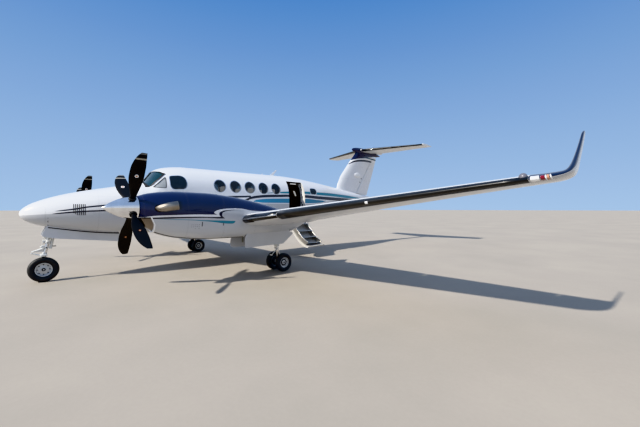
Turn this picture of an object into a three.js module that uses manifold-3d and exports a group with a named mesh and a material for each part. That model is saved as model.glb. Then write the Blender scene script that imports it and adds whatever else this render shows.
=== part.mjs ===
// A twin turboprop business aircraft on its landing gear, with the cabin stair let down.
// Millimetres. +X is the port wing, -Y is the nose, +Z is up. The origin is on the ground,
// below the middle of the overall length. A station is a distance aft of the nose tip.
import * as THREE from 'three';
import { mergeVertices } from 'three/addons/utils/BufferGeometryUtils.js';
import loadManifold from 'manifold-3d';

const wasm = await loadManifold();
wasm.setup();

// Overall sizes
const overallLength = 13360;
const seat = 0.3;            // gap left between pieces that touch
const runningGap = 9;        // gap ahead of a control surface
const skinPoints = 24;       // points round the fuselage
const smallPoints = 18;      // points round a nacelle, a bullet and the cabin's inside

// Fuselage
const radomeJoint = 400;
const cockpitBulkhead = 2200;
const tailJoint = 8400;
const tailEnd = 12420;
const cabinWall = 60;
const tailSkin = 25;
const floorTop = 1195;
const floorThickness = 50;

// Windows
const cabinWindow = { first: 4220, pitch: 504, radius: 190, height: 2300 };
const aftWindow = { station: 8060, radius: 140, height: 2270 };
const windowThickness = 12;
const windowDepth = 8;       // how far a pane sits below the outer skin

// Airstair door
const door = { front: 6800, back: 7530, hinge: 1222, top: 2600, openAngle: 133, gap: 6, thickness: 45, pin: 12 };

// Landing gear
const noseWheel = { station: 385, radius: 275, width: 171, rim: 166, axle: 20 };
const mainWheel = { station: 4945, radius: 235, width: 140, rim: 150, axle: 28, spacing: 400 };
// Pads for a jack. Columns: distance out, station, top, foot.
const jackPad = { radius: 35, wing: [1950, 4350, 1150, 1060], nose: [0, 2110, 1060, 985] };
const wheelSides = 18;
const axleRunning = 1.2;
const trackHalf = 2615;
const noseBay = { front: 450, back: 1850, half: 170, roof: 1430 };
const mainBay = { front: 3780, back: 5080, half: 285, roof: 1400 };
const noseLegTop = { station: 560, height: 1320 };
const noseLegFoot = { station: 412, height: 655 };
const noseLamps = [[362, 775], [380, 893], [400, 1011]];  // station of the glass, height
const mainLegTop = { station: 4790, height: 1290 };

// Engine and propeller
const thrust = { height: 1650, hub: 1485, spinnerTip: 1025, spinnerBack: 1580, spinnerRadius: 205 };
const propellerRadius = 1170;
const bladeCount = 4;
const firstBladeAngle = 36;  // from straight up towards +X, on both propellers
const cowlFront = 1592;
const lowerLip = 1760;       // the intake's lip sits back from the rest of the cowl's front
const firewall = 3550;
const engineFront = 1810;
const blueEdge = 1470;       // underside of the upper cowl, ahead of the intake's lip
const intakeBack = 1960;
const engineRadius = 210;

const aft = station => station - overallLength / 2;
const radians = degrees => (degrees * Math.PI) / 180;

// Body sections. Columns: station, top, bottom, half width, height of the widest line,
// squareness above and below that line (2 is an ellipse).
const fuselageTable = [
  [0, 1530, 1500, 14, 1515, 2, 2],
  [50, 1628, 1405, 112, 1516, 2, 2],
  [160, 1722, 1328, 200, 1520, 2, 2.1],
  [400, 1842, 1238, 318, 1540, 2.05, 2.2],
  [770, 1970, 1163, 440, 1580, 2.15, 2.4],
  [1260, 2090, 1080, 565, 1640, 2.25, 2.6],
  [1790, 2200, 1028, 665, 1700, 2.35, 2.8],
  [2200, 2308, 1008, 722, 1760, 2.4, 2.9],
  [2400, 2368, 1003, 743, 1785, 2.4, 3],
  [2500, 2492, 1001, 751, 1805, 2.4, 3.02],
  [2610, 2632, 1000, 758, 1825, 2.4, 3.05],
  [2740, 2716, 1000, 765, 1850, 2.45, 3.1],
  [2900, 2764, 1000, 773, 1870, 2.45, 3.15],
  [3100, 2796, 1000, 778, 1890, 2.45, 3.2],
  [3400, 2818, 1000, 780, 1900, 2.45, 3.2],
  [6600, 2822, 1000, 780, 1900, 2.45, 3.2],
  [7500, 2790, 1010, 772, 1900, 2.4, 3.1],
  [8400, 2708, 1110, 712, 1930, 2.35, 2.8],
  [9400, 2596, 1330, 585, 1990, 2.25, 2.5],
  [10400, 2475, 1590, 425, 2050, 2.15, 2.3],
  [11400, 2355, 1850, 262, 2115, 2.1, 2.15],
  [12100, 2272, 2030, 140, 2160, 2, 2],
  [12420, 2235, 2120, 60, 2180, 2, 2],
];
const nacelleTable = [
  [1592, 1877, 1345, 218, 1642, 2, 2],
  [1760, 1930, 1205, 272, 1612, 2.1, 2.1],
  [1980, 1965, 1110, 318, 1580, 2.2, 2.2],
  [2270, 1987, 1032, 345, 1560, 2.3, 2.3],
  [2860, 1980, 970, 357, 1530, 2.4, 2.6],
  [3450, 1925, 957, 360, 1500, 2.4, 3],
  [3920, 1850, 962, 360, 1460, 2.4, 3.4],
  [4400, 1752, 972, 358, 1420, 2.4, 3.4],
  [4830, 1645, 985, 352, 1380, 2.3, 3.4],
  [5300, 1530, 1045, 300, 1340, 2.2, 2.8],
  [5750, 1415, 1180, 130, 1300, 2, 2],
  [5950, 1330, 1270, 30, 1300, 2, 2],
];
const bulletTable = [
  [11145, 4392, 4374, 10, 4383, 2, 2],
  [11190, 4434, 4332, 46, 4384, 2, 2],
  [11295, 4470, 4292, 80, 4386, 2, 2],
  [11430, 4494, 4262, 102, 4386, 2, 2],
  [11700, 4514, 4240, 116, 4384, 2, 2],
  [12050, 4520, 4228, 120, 4380, 2, 2],
  [12400, 4508, 4224, 118, 4372, 2, 2],
  [12900, 4430, 4222, 92, 4330, 2, 2],
  [13230, 4345, 4255, 45, 4302, 2, 2],
  [13360, 4312, 4288, 10, 4300, 2, 2],
];

// Lifting surfaces. Columns: distance out, leading-edge station, leading-edge height,
// chord, thickness ratio, incidence in degrees.
const wingTable = [
  [500, 3560, 1128, 2250, 0.18, 4.2],
  [2615, 3610, 1350, 2060, 0.165, 3.4],
  [8450, 4010, 1963, 930, 0.12, 0],
];
const wingDihedral = 6;
// Winglet columns: distance out, height, leading-edge station, chord, cant in degrees
const wingletTable = [
  [8450, 1963, 4010, 930, 6],
  [8610, 1984, 4085, 850, 12],
  [8710, 2010, 4155, 750, 32],
  [8772, 2055, 4260, 620, 62],
  [8797, 2130, 4390, 490, 80],
  [8806, 2260, 4590, 375, 86],
  [8814, 2450, 4850, 290, 86],
  [8819, 2600, 5040, 215, 86],
  [8821, 2630, 5110, 140, 86],
];
const tailplaneTable = [
  [0, 11600, 4405, 1600, 0.105, 0],
  [2805, 12520, 4410, 820, 0.10, 0],
];
// Fin columns: height, leading-edge station, trailing-edge station, rudder hinge station
const finTable = [
  [2180, 9950, 12205, 11260],
  [2500, 10090, 12340, 11494],
  [2723, 10160, 12438, 11657],
  [3111, 10368, 12607, 11941],
  [3591, 10796, 12804, 12293],
  [4163, 11320, 13036, 12711],
  [4330, 11475, 13104, 12834],
];
const bulletNose = bulletTable[0][0];
const finThickness = 0.11;
const rudderSpan = { bottom: 2150, top: 4160, clearance: 24, rise: 40 };  // rise: a turned rudder lifts

// Control surfaces. Each has its inner and outer ends and the hinge's fraction of chord.
const controls = {
  flapInner: { from: 905, to: 2190, hinge: 0.78, drop: 1 },
  flapOuter: { from: 3030, to: 5440, hinge: 0.78, drop: 1 },
  aileron: { from: 5500, to: 8060, hinge: 0.78, drop: 0 },
  elevator: { from: 165, to: 2640, hinge: 0.64, drop: 0 },
};
const controlEndGap = 16;
const ribPitch = 1400;       // largest step between sections of a wing
const pinRadius = 6;
const pinRoot = 40;
const pinEndGap = 0.9;       // a pin's corner then clears the wall that its swept axis meets
const camber = 0.018;
const trailingThickness = 4;

// Solids

function solid(geometry) {
  const bare = geometry.clone();
  bare.deleteAttribute('normal');
  if (bare.attributes.uv) bare.deleteAttribute('uv');
  const merged = mergeVertices(bare, 1e-3);
  const positions = merged.attributes.position.array;
  const index = Uint32Array.from(merged.index.array);
  if (signedVolume(positions, index) < 0) {
    for (let i = 0; i < index.length; i += 3) [index[i], index[i + 1]] = [index[i + 1], index[i]];
  }
  return new wasm.Manifold(new wasm.Mesh({
    numProp: 3,
    vertProperties: Float32Array.from(positions),
    triVerts: index,
  }));
}

function signedVolume(positions, index) {
  const a = new THREE.Vector3();
  const b = new THREE.Vector3();
  const c = new THREE.Vector3();
  let volume = 0;
  for (let i = 0; i < index.length; i += 3) {
    a.fromArray(positions, index[i] * 3);
    b.fromArray(positions, index[i + 1] * 3);
    c.fromArray(positions, index[i + 2] * 3);
    volume += a.dot(b.cross(c)) / 6;
  }
  return volume;
}

function geometryOf(manifold) {
  const mesh = manifold.getMesh();
  const geometry = new THREE.BufferGeometry();
  geometry.setAttribute('position', new THREE.BufferAttribute(Float32Array.from(mesh.vertProperties), 3));
  geometry.setIndex(new THREE.BufferAttribute(Uint32Array.from(mesh.triVerts), 1));
  return geometry;
}

// A skin through rings of points, closed by a fan at each end.
function loft(rings) {
  const count = rings[0].length;
  const positions = rings.flat(2);
  const index = [];
  for (let i = 0; i < rings.length - 1; i += 1) {
    for (let j = 0; j < count; j += 1) {
      const a = i * count + j;
      const b = i * count + ((j + 1) % count);
      index.push(a, b, b + count, a, b + count, a + count);
    }
  }
  for (const end of [0, rings.length - 1]) {
    const middle = positions.length / 3;
    const ring = rings[end];
    for (let axis = 0; axis < 3; axis += 1) {
      positions.push(ring.reduce((sum, point) => sum + point[axis], 0) / count);
    }
    for (let j = 0; j < count; j += 1) {
      const a = end * count + j;
      const b = end * count + ((j + 1) % count);
      if (end === 0) index.push(b, a, middle);
      else index.push(a, b, middle);
    }
  }
  const geometry = new THREE.BufferGeometry();
  geometry.setAttribute('position', new THREE.Float32BufferAttribute(positions, 3));
  geometry.setIndex(index);
  return solid(geometry);
}

const join = (...parts) => parts.reduce((sum, part) => sum.add(part));
const cut = (body, ...tools) => tools.reduce((rest, tool) => rest.subtract(tool), body);

function block([x0, x1], [y0, y1], [z0, z1]) {
  const geometry = new THREE.BoxGeometry(x1 - x0, y1 - y0, z1 - z0);
  geometry.translate((x0 + x1) / 2, (y0 + y1) / 2, (z0 + z1) / 2);
  return solid(geometry);
}

// A round bar from one point to another; the end may be narrower.
function rod(from, to, radius, endRadius = radius, sides = 10) {
  const start = new THREE.Vector3(...from);
  const run = new THREE.Vector3(...to).sub(start);
  const geometry = new THREE.CylinderGeometry(endRadius, radius, run.length(), sides);
  geometry.translate(0, run.length() / 2, 0);
  geometry.applyQuaternion(new THREE.Quaternion().setFromUnitVectors(
    new THREE.Vector3(0, 1, 0), run.clone().normalize()));
  geometry.translate(start.x, start.y, start.z);
  return solid(geometry);
}

// A flat outline of [y, z] points, thick along X.
function sidePlate(outline, x0, x1) {
  const shape = new THREE.Shape(outline.map(([y, z]) => new THREE.Vector2(y, z)));
  const geometry = new THREE.ExtrudeGeometry(shape, { depth: x1 - x0, bevelEnabled: false });
  const turn = new THREE.Matrix4().makeBasis(
    new THREE.Vector3(0, 1, 0), new THREE.Vector3(0, 0, 1), new THREE.Vector3(1, 0, 0));
  geometry.applyMatrix4(turn);
  geometry.translate(x0, 0, 0);
  return solid(geometry);
}

// A flat outline of [x, z] points, thick along Y.
function frontPlate(outline, y0, y1) {
  const shape = new THREE.Shape(outline.map(([x, z]) => new THREE.Vector2(x, z)));
  const geometry = new THREE.ExtrudeGeometry(shape, { depth: y1 - y0, bevelEnabled: false });
  geometry.rotateX(Math.PI / 2);
  geometry.translate(0, y1, 0);
  return solid(geometry);
}

// A turned shape about an axis along X. Points are [radius, x].
function turnedAcross(profile, sides = 16) {
  const geometry = new THREE.LatheGeometry(profile.map(([r, x]) => new THREE.Vector2(r, x)), sides);
  geometry.rotateZ(-Math.PI / 2);
  return solid(geometry);
}

// A turned shape about an axis along Y. Points are [radius, y].
function turnedAlong(profile, sides = 16) {
  return solid(new THREE.LatheGeometry(profile.map(([r, y]) => new THREE.Vector2(r, y)), sides));
}

// A round tube through points, with one radius each, that stays level with the ground.
function tube(path, radii, sides = 8) {
  const up = new THREE.Vector3(0, 0, 1);
  const rings = path.map((point, i) => {
    const before = new THREE.Vector3(...path[Math.max(i - 1, 0)]);
    const after = new THREE.Vector3(...path[Math.min(i + 1, path.length - 1)]);
    const along = after.sub(before).normalize();
    const side = new THREE.Vector3().crossVectors(along, up).normalize();
    const over = new THREE.Vector3().crossVectors(side, along);
    return Array.from({ length: sides }, (unused, k) => {
      const angle = (k / sides) * 2 * Math.PI;
      return new THREE.Vector3(...point)
        .addScaledVector(side, radii[i] * Math.cos(angle))
        .addScaledVector(over, radii[i] * Math.sin(angle))
        .toArray();
    });
  });
  return loft(rings);
}

function mirrored(manifold) {
  const geometry = geometryOf(manifold);
  geometry.scale(-1, 1, 1);
  return solid(geometry);
}

function moved(manifold, x, y, z) {
  const geometry = geometryOf(manifold);
  geometry.translate(x, y, z);
  return solid(geometry);
}

// Turns a solid about an axis along Y through a point [x, z].
function swung(manifold, [x, z], degrees) {
  const geometry = geometryOf(manifold);
  geometry.translate(-x, 0, -z);
  geometry.rotateY(radians(degrees));
  geometry.translate(x, 0, z);
  return solid(geometry);
}

// One row of a table at any place, by straight lines between its rows.
function rowAt(table, place) {
  const last = table.length - 1;
  let i = table.findIndex(row => row[0] >= place);
  if (i < 0) i = last;
  if (i === 0) i = 1;
  const [a, b] = [table[i - 1], table[i]];
  const t = (place - a[0]) / (b[0] - a[0]);
  return a.map((value, k) => value + (b[k] - value) * t);
}

// Bodies of oval section

function ovalRing([station, top, bottom, half, widest, above, below], grow, centre, points) {
  return Array.from({ length: points }, (unused, i) => {
    const angle = (i / points) * 2 * Math.PI;
    const c = Math.cos(angle);
    const s = Math.sin(angle);
    const rise = s > 0 ? top + grow - widest : widest - bottom + grow;
    const power = 2 / (s > 0 ? above : below);
    return [
      centre + Math.sign(c) * Math.abs(c) ** power * (half + grow),
      aft(station),
      widest + Math.sign(s) * Math.abs(s) ** power * rise,
    ];
  });
}

function ovalBody(table, from, to, grow = 0, points = skinPoints, centre = 0) {
  const inside = table.filter(row => row[0] > from && row[0] < to);
  const rows = [rowAt(table, from), ...inside, rowAt(table, to)];
  return loft(rows.map(row => ovalRing(row, grow, centre, points)));
}

// Aerofoils

const chordSteps = [1, 0.75, 0.52, 0.3, 0.14, 0.05, 0.012];

function halfThickness(c, ratio) {
  const curve = 0.2969 * Math.sqrt(c) - 0.126 * c - 0.3516 * c ** 2 + 0.2843 * c ** 3 - 0.1036 * c ** 4;
  return 5 * ratio * curve;
}

const camberLine = (c, bend) => bend * 4 * c * (1 - c);

// Points of [fraction of chord, height over chord] from the trailing edge over the top.
function aerofoil(ratio, chord, bend) {
  const edge = trailingThickness / 2 / chord;
  const upper = chordSteps.map(c => [c, camberLine(c, bend) + halfThickness(c, ratio) + edge * c]);
  const lower = chordSteps.map(c => [c, camberLine(c, bend) - halfThickness(c, ratio) - edge * c]);
  return [...upper, [0, 0], ...lower.reverse()];
}

// The rear of the section behind its hinge, with a round nose about the hinge.
function controlSection(ratio, chord, bend, hinge) {
  const edge = trailingThickness / 2 / chord;
  const at = (c, sign) => [c, camberLine(c, bend) + sign * (halfThickness(c, ratio) + edge * c)];
  const radius = halfThickness(hinge, ratio) + edge * hinge;
  const nose = [30, 60, 90, 120, 150].map(angle => [
    hinge - radius * Math.sin(radians(angle)),
    camberLine(hinge, bend) + radius * Math.cos(radians(angle)),
  ]);
  return [at(1, 1), at(0.9, 1), at(hinge, 1), ...nose, at(hinge, -1), at(0.9, -1), at(1, -1)];
}

// The space that a control surface and its gap take out of the surface that carries it.
function controlSpace(ratio, chord, bend, hinge) {
  const radius = halfThickness(hinge, ratio);
  const front = hinge - radius - runningGap / chord;
  return [[1.15, 0.1], [front, 0.1], [front, -0.1], [1.15, -0.1]];
}

// Places a section of a wing or tailplane; its plane is square to the dihedral.
function spanRing([out, station, height, chord, ratio, incidence], section, dihedral) {
  const lean = Math.tan(radians(dihedral));
  const turn = radians(incidence);
  return section.map(([c, t]) => {
    const back = chord * (c * Math.cos(turn) + t * Math.sin(turn));
    const up = chord * (t * Math.cos(turn) - c * Math.sin(turn));
    return [out - up * lean, aft(station + back), height + up];
  });
}

function spanBody(table, from, to, shape, dihedral, bend) {
  const bays = Math.ceil((to - from) / ribPitch);
  const places = Array.from({ length: bays + 1 }, (unused, i) => from + ((to - from) * i) / bays);
  places.push(...table.map(row => row[0]).filter(place => place > from + 200 && place < to - 200));
  const rows = places.sort((a, b) => a - b).map(place => rowAt(table, place));
  return loft(rows.map(row => spanRing(row, shape(row, bend), dihedral)));
}

const wholeSection = (row, bend) => aerofoil(row[4], row[3], bend);
const controlShape = hinge => (row, bend) => controlSection(row[4], row[3], bend, hinge);
const controlCutter = hinge => (row, bend) => controlSpace(row[4], row[3], bend, hinge);

// A point on a hinge line: in the middle of the section, or on its lower face where it drops.
function hingePoint(table, place, { hinge, drop }, dihedral, bend) {
  const row = rowAt(table, place);
  const lower = halfThickness(hinge, row[4]) + (trailingThickness / 2 / row[3]) * hinge;
  return new THREE.Vector3(...spanRing(row, [[hinge, camberLine(hinge, bend) - drop * lower]], dihedral)[0]);
}

// A pin at each end of a hinge line, which reaches the wall beside it.
function hingePins(inner, outer, reach) {
  const along = outer.clone().sub(inner).normalize();
  const pin = (end, way) => rod(end.clone().addScaledVector(along, -way * pinRoot).toArray(),
    end.clone().addScaledVector(along, way * reach).toArray(), pinRadius);
  return [pin(inner, -1), pin(outer, 1)];
}

function wingControl(control) {
  const { from, to, hinge } = control;
  const ends = [from, to].map(place => hingePoint(wingTable, place, control, wingDihedral, camber));
  return {
    surface: join(spanBody(wingTable, from, to, controlShape(hinge), wingDihedral, camber),
      ...hingePins(...ends, controlEndGap - pinEndGap)),
    space: spanBody(wingTable, from - controlEndGap, to + controlEndGap, controlCutter(hinge),
      wingDihedral, camber),
  };
}

// The finished object

const aircraft = new THREE.Group();

const finishes = {
  whitePaint: { color: 0xf0f2f4, roughness: 0.25, metalness: 0 },
  silverPaint: { color: 0xb9bec4, roughness: 0.32, metalness: 0.3 },
  bluePaint: { color: 0x0f2a6b, roughness: 0.22, metalness: 0 },
  navyPaint: { color: 0x141a3c, roughness: 0.25, metalness: 0 },
  chrome: { color: 0xd8dadd, roughness: 0.06, metalness: 1 },
  bladeBlack: { color: 0x18191b, roughness: 0.45, metalness: 0 },
  bareSteel: { color: 0xb1a48f, roughness: 0.35, metalness: 0.9 },
  gearGrey: { color: 0xc9ccce, roughness: 0.4, metalness: 0.2 },
  rubber: { color: 0x17181a, roughness: 0.85, metalness: 0 },
  tintedGlass: { color: 0x1b2128, roughness: 0.05, metalness: 0 },
  trim: { color: 0xb8a78c, roughness: 0.7, metalness: 0 },
  leather: { color: 0xc7b698, roughness: 0.6, metalness: 0 },
  panelBlack: { color: 0x222326, roughness: 0.6, metalness: 0 },
};

function piece(name, manifold, finish) {
  const mesh = new THREE.Mesh(geometryOf(manifold), new THREE.MeshStandardMaterial(finishes[finish]));
  mesh.name = name;
  aircraft.add(mesh);
}

// Makes the port piece as it is and the starboard piece as its mirror image.
function pair(name, manifold, finish) {
  piece(`${name}_port`, manifold, finish);
  piece(`${name}_starboard`, mirrored(manifold), finish);
}

const jackPadAt = ([x, station, top, foot]) => rod([x, aft(station), top], [x, aft(station), foot], jackPad.radius);

// Fuselage

const fuselageClear = ovalBody(fuselageTable, 0, tailEnd, seat);

// Five windows on the port side, six on the starboard side, and an aft one on each. Each is a recess
// in the shell, with no pane of its own.
const windowPlaces = [1, -1].flatMap(side => [
  { side, ...aftWindow },
  ...Array.from({ length: side > 0 ? 5 : 6 }, (unused, i) =>
    ({ side, ...cabinWindow, station: cabinWindow.first + i * cabinWindow.pitch })),
]);

const windowTool = ({ side, station, height, radius }) =>
  rod([side * 400, aft(station), height], [side * 1000, aft(station), height], radius, radius, 16);

// Outlines of the cockpit glazing, seen from the front [x, z] and from the side [y, z]
const windshieldOutline = [
  [25, 2378], [25, 2628], [272, 2612], [400, 2602], [540, 2542], [564, 2484], [581, 2421], [580, 2363],
  [573, 2300], [572, 2247], [576, 2198], [522, 2232], [437, 2271], [340, 2304],
];
const sideWindowOutline = [
  [2868, 2190], [2895, 2165], [3190, 2190], [3235, 2202], [3275, 2255], [3285, 2330], [3262, 2430], [3225, 2480],
  [3171, 2510], [3100, 2518], [2895, 2495], [2868, 2470],
];
const quarterWindowOutline = [[2473, 2188], [2735, 2176], [2752, 2190], [2768, 2440], [2752, 2452]];
const stationed = outline => outline.map(([station, z]) => [aft(station), z]);

function windshieldTool(shrink) {
  const middle = [330, 2450];
  const outline = windshieldOutline.map(([x, z]) => [
    x + Math.sign(middle[0] - x) * shrink,
    z + Math.sign(middle[1] - z) * shrink,
  ]);
  return frontPlate(outline, aft(2235), aft(3000));
}

const sideTool = (outline, side) => {
  const plate = sidePlate(stationed(outline), 450, 1000);
  return side > 0 ? plate : mirrored(plate);
};

function shellBetween(outerGrow, innerGrow, from, to) {
  return cut(ovalBody(fuselageTable, from, to, outerGrow),
    ovalBody(fuselageTable, from - 5, to + 5, innerGrow));
}

const doorHingePin = (radius, extra) => rod([doorHingeX, aft(door.front - extra), door.hinge],
  [doorHingeX, aft(door.back + extra), door.hinge], radius, radius, 16);

// A sector about the stair's hinge that the closed door fills.
function doorSector(reach, sill, front, back) {
  const hinge = [doorHingeX, door.hinge];
  const outline = [[hinge[0] + 120, sill], [hinge[0] - 420, sill]];
  for (let angle = 108; angle >= 80; angle -= 4) {
    outline.push([hinge[0] + reach * Math.cos(radians(angle)), hinge[1] + reach * Math.sin(radians(angle))]);
  }
  return frontPlate(outline.reverse(), aft(front), aft(back));
}

const sectionSide = (table, station, height) => {
  const [, top, bottom, half, widest, above, below] = rowAt(table, station);
  const rise = height > widest ? top - widest : widest - bottom;
  const squareness = height > widest ? above : below;
  const share = Math.abs(height - widest) / rise;
  return half * (1 - share ** squareness) ** (1 / squareness);
};
const doorHingeX = sectionSide(fuselageTable, door.front, door.hinge);
const doorReach = door.top - door.hinge;

function makeFuselage() {
  piece('radome', ovalBody(fuselageTable, 0, radomeJoint), 'whitePaint');

  const noseBayTool = block([-noseBay.half, noseBay.half], [aft(noseBay.front), aft(noseBay.back)],
    [800, noseBay.roof]);
  const nose = cut(ovalBody(fuselageTable, radomeJoint + seat, cockpitBulkhead), noseBayTool);
  piece('nose_section', join(nose, jackPadAt(jackPad.nose)), 'whitePaint');

  const cabinStart = cockpitBulkhead + seat;
  const inside = ovalBody(fuselageTable, cabinStart + cabinWall, tailJoint - cabinWall, -cabinWall, smallPoints);
  const tools = [inside, windshieldTool(0), mirrored(windshieldTool(0))];
  for (const side of [1, -1]) tools.push(sideTool(sideWindowOutline, side));
  const recesses = join(...windowPlaces.map(windowTool), ...[1, -1].map(side => sideTool(quarterWindowOutline, side)));
  tools.push(cut(recesses, ovalBody(fuselageTable, 2350, tailJoint, -windowDepth)));
  tools.push(doorSector(doorReach + door.gap, door.hinge - door.gap, door.front - door.gap, door.back + door.gap));
  tools.push(doorHingePin(door.pin + 0.6, door.gap));
  piece('cabin_shell', cut(ovalBody(fuselageTable, cabinStart, tailJoint), ...tools), 'whitePaint');

  const tailInside = ovalBody(fuselageTable, tailJoint - 100, tailEnd - 300, -tailSkin, smallPoints);
  const ventral = sidePlate(stationed([[10300, 1700], [10550, 1430], [11950, 1640], [12150, 2080]]), -14, 14);
  piece('tail_cone',
    join(cut(ovalBody(fuselageTable, tailJoint + seat, tailEnd), tailInside), cut(ventral, tailInside)),
    'whitePaint');

  const floorBlock = block([-900, 900], [aft(2500), aft(8300)], [floorTop - floorThickness, floorTop]);
  const room = ovalBody(fuselageTable, 2400, 8330, -cabinWall - seat, smallPoints);
  piece('cabin_floor', floorBlock.intersect(room), 'trim');
}

function makeGlazing() {
  const paneShell = shellBetween(-windowDepth, -windowDepth - windowThickness, 2300, 3500);
  pair('windshield', paneShell.intersect(windshieldTool(seat)), 'tintedGlass');
  const shrunk = sideWindowOutline.map(([s, z]) => [s + Math.sign(3080 - s) * seat, z + Math.sign(2340 - z) * seat]);
  pair('cockpit_window', paneShell.intersect(sideTool(shrunk, 1)), 'tintedGlass');
}

// The stair's hinge line is at the sill. The door is shaped closed and then let down.
function makeAirstair() {
  const skin = shellBetween(0, -door.thickness, door.front, door.back);
  const sector = doorSector(doorReach, door.hinge + 2, door.front, door.back);
  const hinge = [doorHingeX, door.hinge];
  piece('airstair_door', swung(join(skin.intersect(sector), doorHingePin(door.pin, 0)), hinge, door.openAngle),
    'whitePaint');

  const stringer = { inset: 40, thickness: 30, depth: 170, top: 2440 };
  const treadCount = 4;
  const treadThickness = 28;
  const liner = ovalBody(fuselageTable, door.front, door.back, -door.thickness - seat);
  const profile = [];
  for (let z = door.hinge + 30; z <= stringer.top; z += 101) profile.push([sectionSide(fuselageTable, 7200, z), z]);
  const back = profile.map(([x, z]) => [x - door.thickness - stringer.depth, z]).reverse();
  const outline = [...profile, ...back];
  const solids = [
    frontPlate(outline, aft(door.front + stringer.inset), aft(door.front + stringer.inset + stringer.thickness)),
    frontPlate(outline, aft(door.back - stringer.inset - stringer.thickness), aft(door.back - stringer.inset)),
  ];
  const openSlope = radians(door.openAngle - 90);
  for (let i = 0; i < treadCount; i += 1) {
    const z = door.hinge + 170 + i * 290;
    const x = sectionSide(fuselageTable, 7200, z);
    const reach = door.thickness + stringer.depth + 20;
    const tilt = Math.tan(openSlope) * reach;
    solids.push(frontPlate(
      [[x, z], [x, z + treadThickness], [x - reach, z + treadThickness + tilt], [x - reach, z + tilt]],
      aft(door.front + stringer.inset + 5), aft(door.back - stringer.inset - 5)));
  }
  piece('airstair_steps', swung(join(...solids).intersect(liner), hinge, door.openAngle), 'gearGrey');
}

// A chair on the floor facing the nose: base, cushion, back and two arms
function chair(x, station, wide, deep, tall, facing) {
  const y = aft(station);
  const front = y - (facing * deep) / 2;
  const back = y + (facing * deep) / 2;
  const span = (a, b) => [Math.min(a, b), Math.max(a, b)];
  const base = floorTop + seat;
  return join(
    block([x - wide * 0.3, x + wide * 0.3], [y - deep * 0.4, y + deep * 0.4], [base, base + 220]),
    block([x - wide / 2, x + wide / 2], [y - deep / 2, y + deep / 2], [base + 200, base + 400]),
    block([x - wide / 2, x + wide / 2], span(back - facing * 150, back), [base + 380, base + tall]),
    block([x - wide / 2 - 20, x - wide / 2 + 50], span(front + facing * 120, back), [base + 200, base + 560]),
    block([x + wide / 2 - 50, x + wide / 2 + 20], span(front + facing * 120, back), [base + 200, base + 560]),
  );
}

function makeInterior() {
  const room = ovalBody(fuselageTable, 2300, 8330, -cabinWall - seat, smallPoints);
  const panel = join(
    frontPlate([[-620, 1760], [620, 1760], [620, 2130], [560, 2200], [-560, 2200], [-620, 2130]],
      aft(2560), aft(2680)),
    block([-130, 130], [aft(2600), aft(3020)], [floorTop + seat, 1780]),
  );
  piece('instrument_panel', panel.intersect(room), 'panelBlack');
  pair('pilot_seat', chair(330, 3330, 380, 460, 1050, 1).intersect(room), 'leather');

  const rail = station0 => station1 => block([380, 450], [aft(station0), aft(station1)],
    [floorTop + seat, floorTop + 30]);
  const rows = [[4180, -1], [5420, 1], [6150, 1]];
  const row = join(rail(4000)(6350), ...rows.map(([station, facing]) => chair(395, station, 400, 520, 1000, facing)));
  pair('cabin_seats', row.intersect(room), 'leather');
}

// Wings

const nacelleClear = ovalBody(nacelleTable, cowlFront, 5950, seat, smallPoints, trackHalf);

function makeWings() {
  const inner = wingControl(controls.flapInner);
  const outer = wingControl(controls.flapOuter);
  const aileron = wingControl(controls.aileron);

  const root = cut(spanBody(wingTable, 520, trackHalf, wholeSection, wingDihedral, camber),
    fuselageClear, nacelleClear, inner.space);
  pair('wing_root', join(root, jackPadAt(jackPad.wing)), 'silverPaint');
  const tipEnd = wingTable.at(-1)[0] - seat;
  const panel = cut(spanBody(wingTable, trackHalf, tipEnd, wholeSection, wingDihedral, camber),
    nacelleClear, outer.space, aileron.space);
  pair('wing_outer', panel, 'whitePaint');
  pair('flap_inner', inner.surface, 'whitePaint');
  pair('flap_outer', outer.surface, 'whitePaint');
  pair('aileron', aileron.surface, 'whitePaint');

  const rings = wingletTable.map(([out, height, station, chord, cant]) => {
    const tilt = radians(cant);
    return aerofoil(0.12 + (cant - 6) * 0.0003, chord, camber).map(([c, t]) => [
      out - Math.sin(tilt) * t * chord,
      aft(station + c * chord),
      height + Math.cos(tilt) * t * chord,
    ]);
  });
  pair('winglet', loft(rings), 'bluePaint');
}

// Nacelles, engines and propellers

// The stub widens along its way. Columns: distance from the centre line, station, height, radius.
const exhaustPath = [
  [190, 1862, 1635, 44], [255, 1874, 1636, 54], [325, 1906, 1642, 68], [385, 1968, 1656, 80],
  [425, 2060, 1676, 86], [450, 2190, 1694, 87],
];

function exhaust(grow, side, rows = exhaustPath) {
  const path = rows.map(([x, s, z]) => [trackHalf + side * x, aft(s), z]);
  return tube(path, rows.map(row => row[3] + grow), 10);
}

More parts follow.
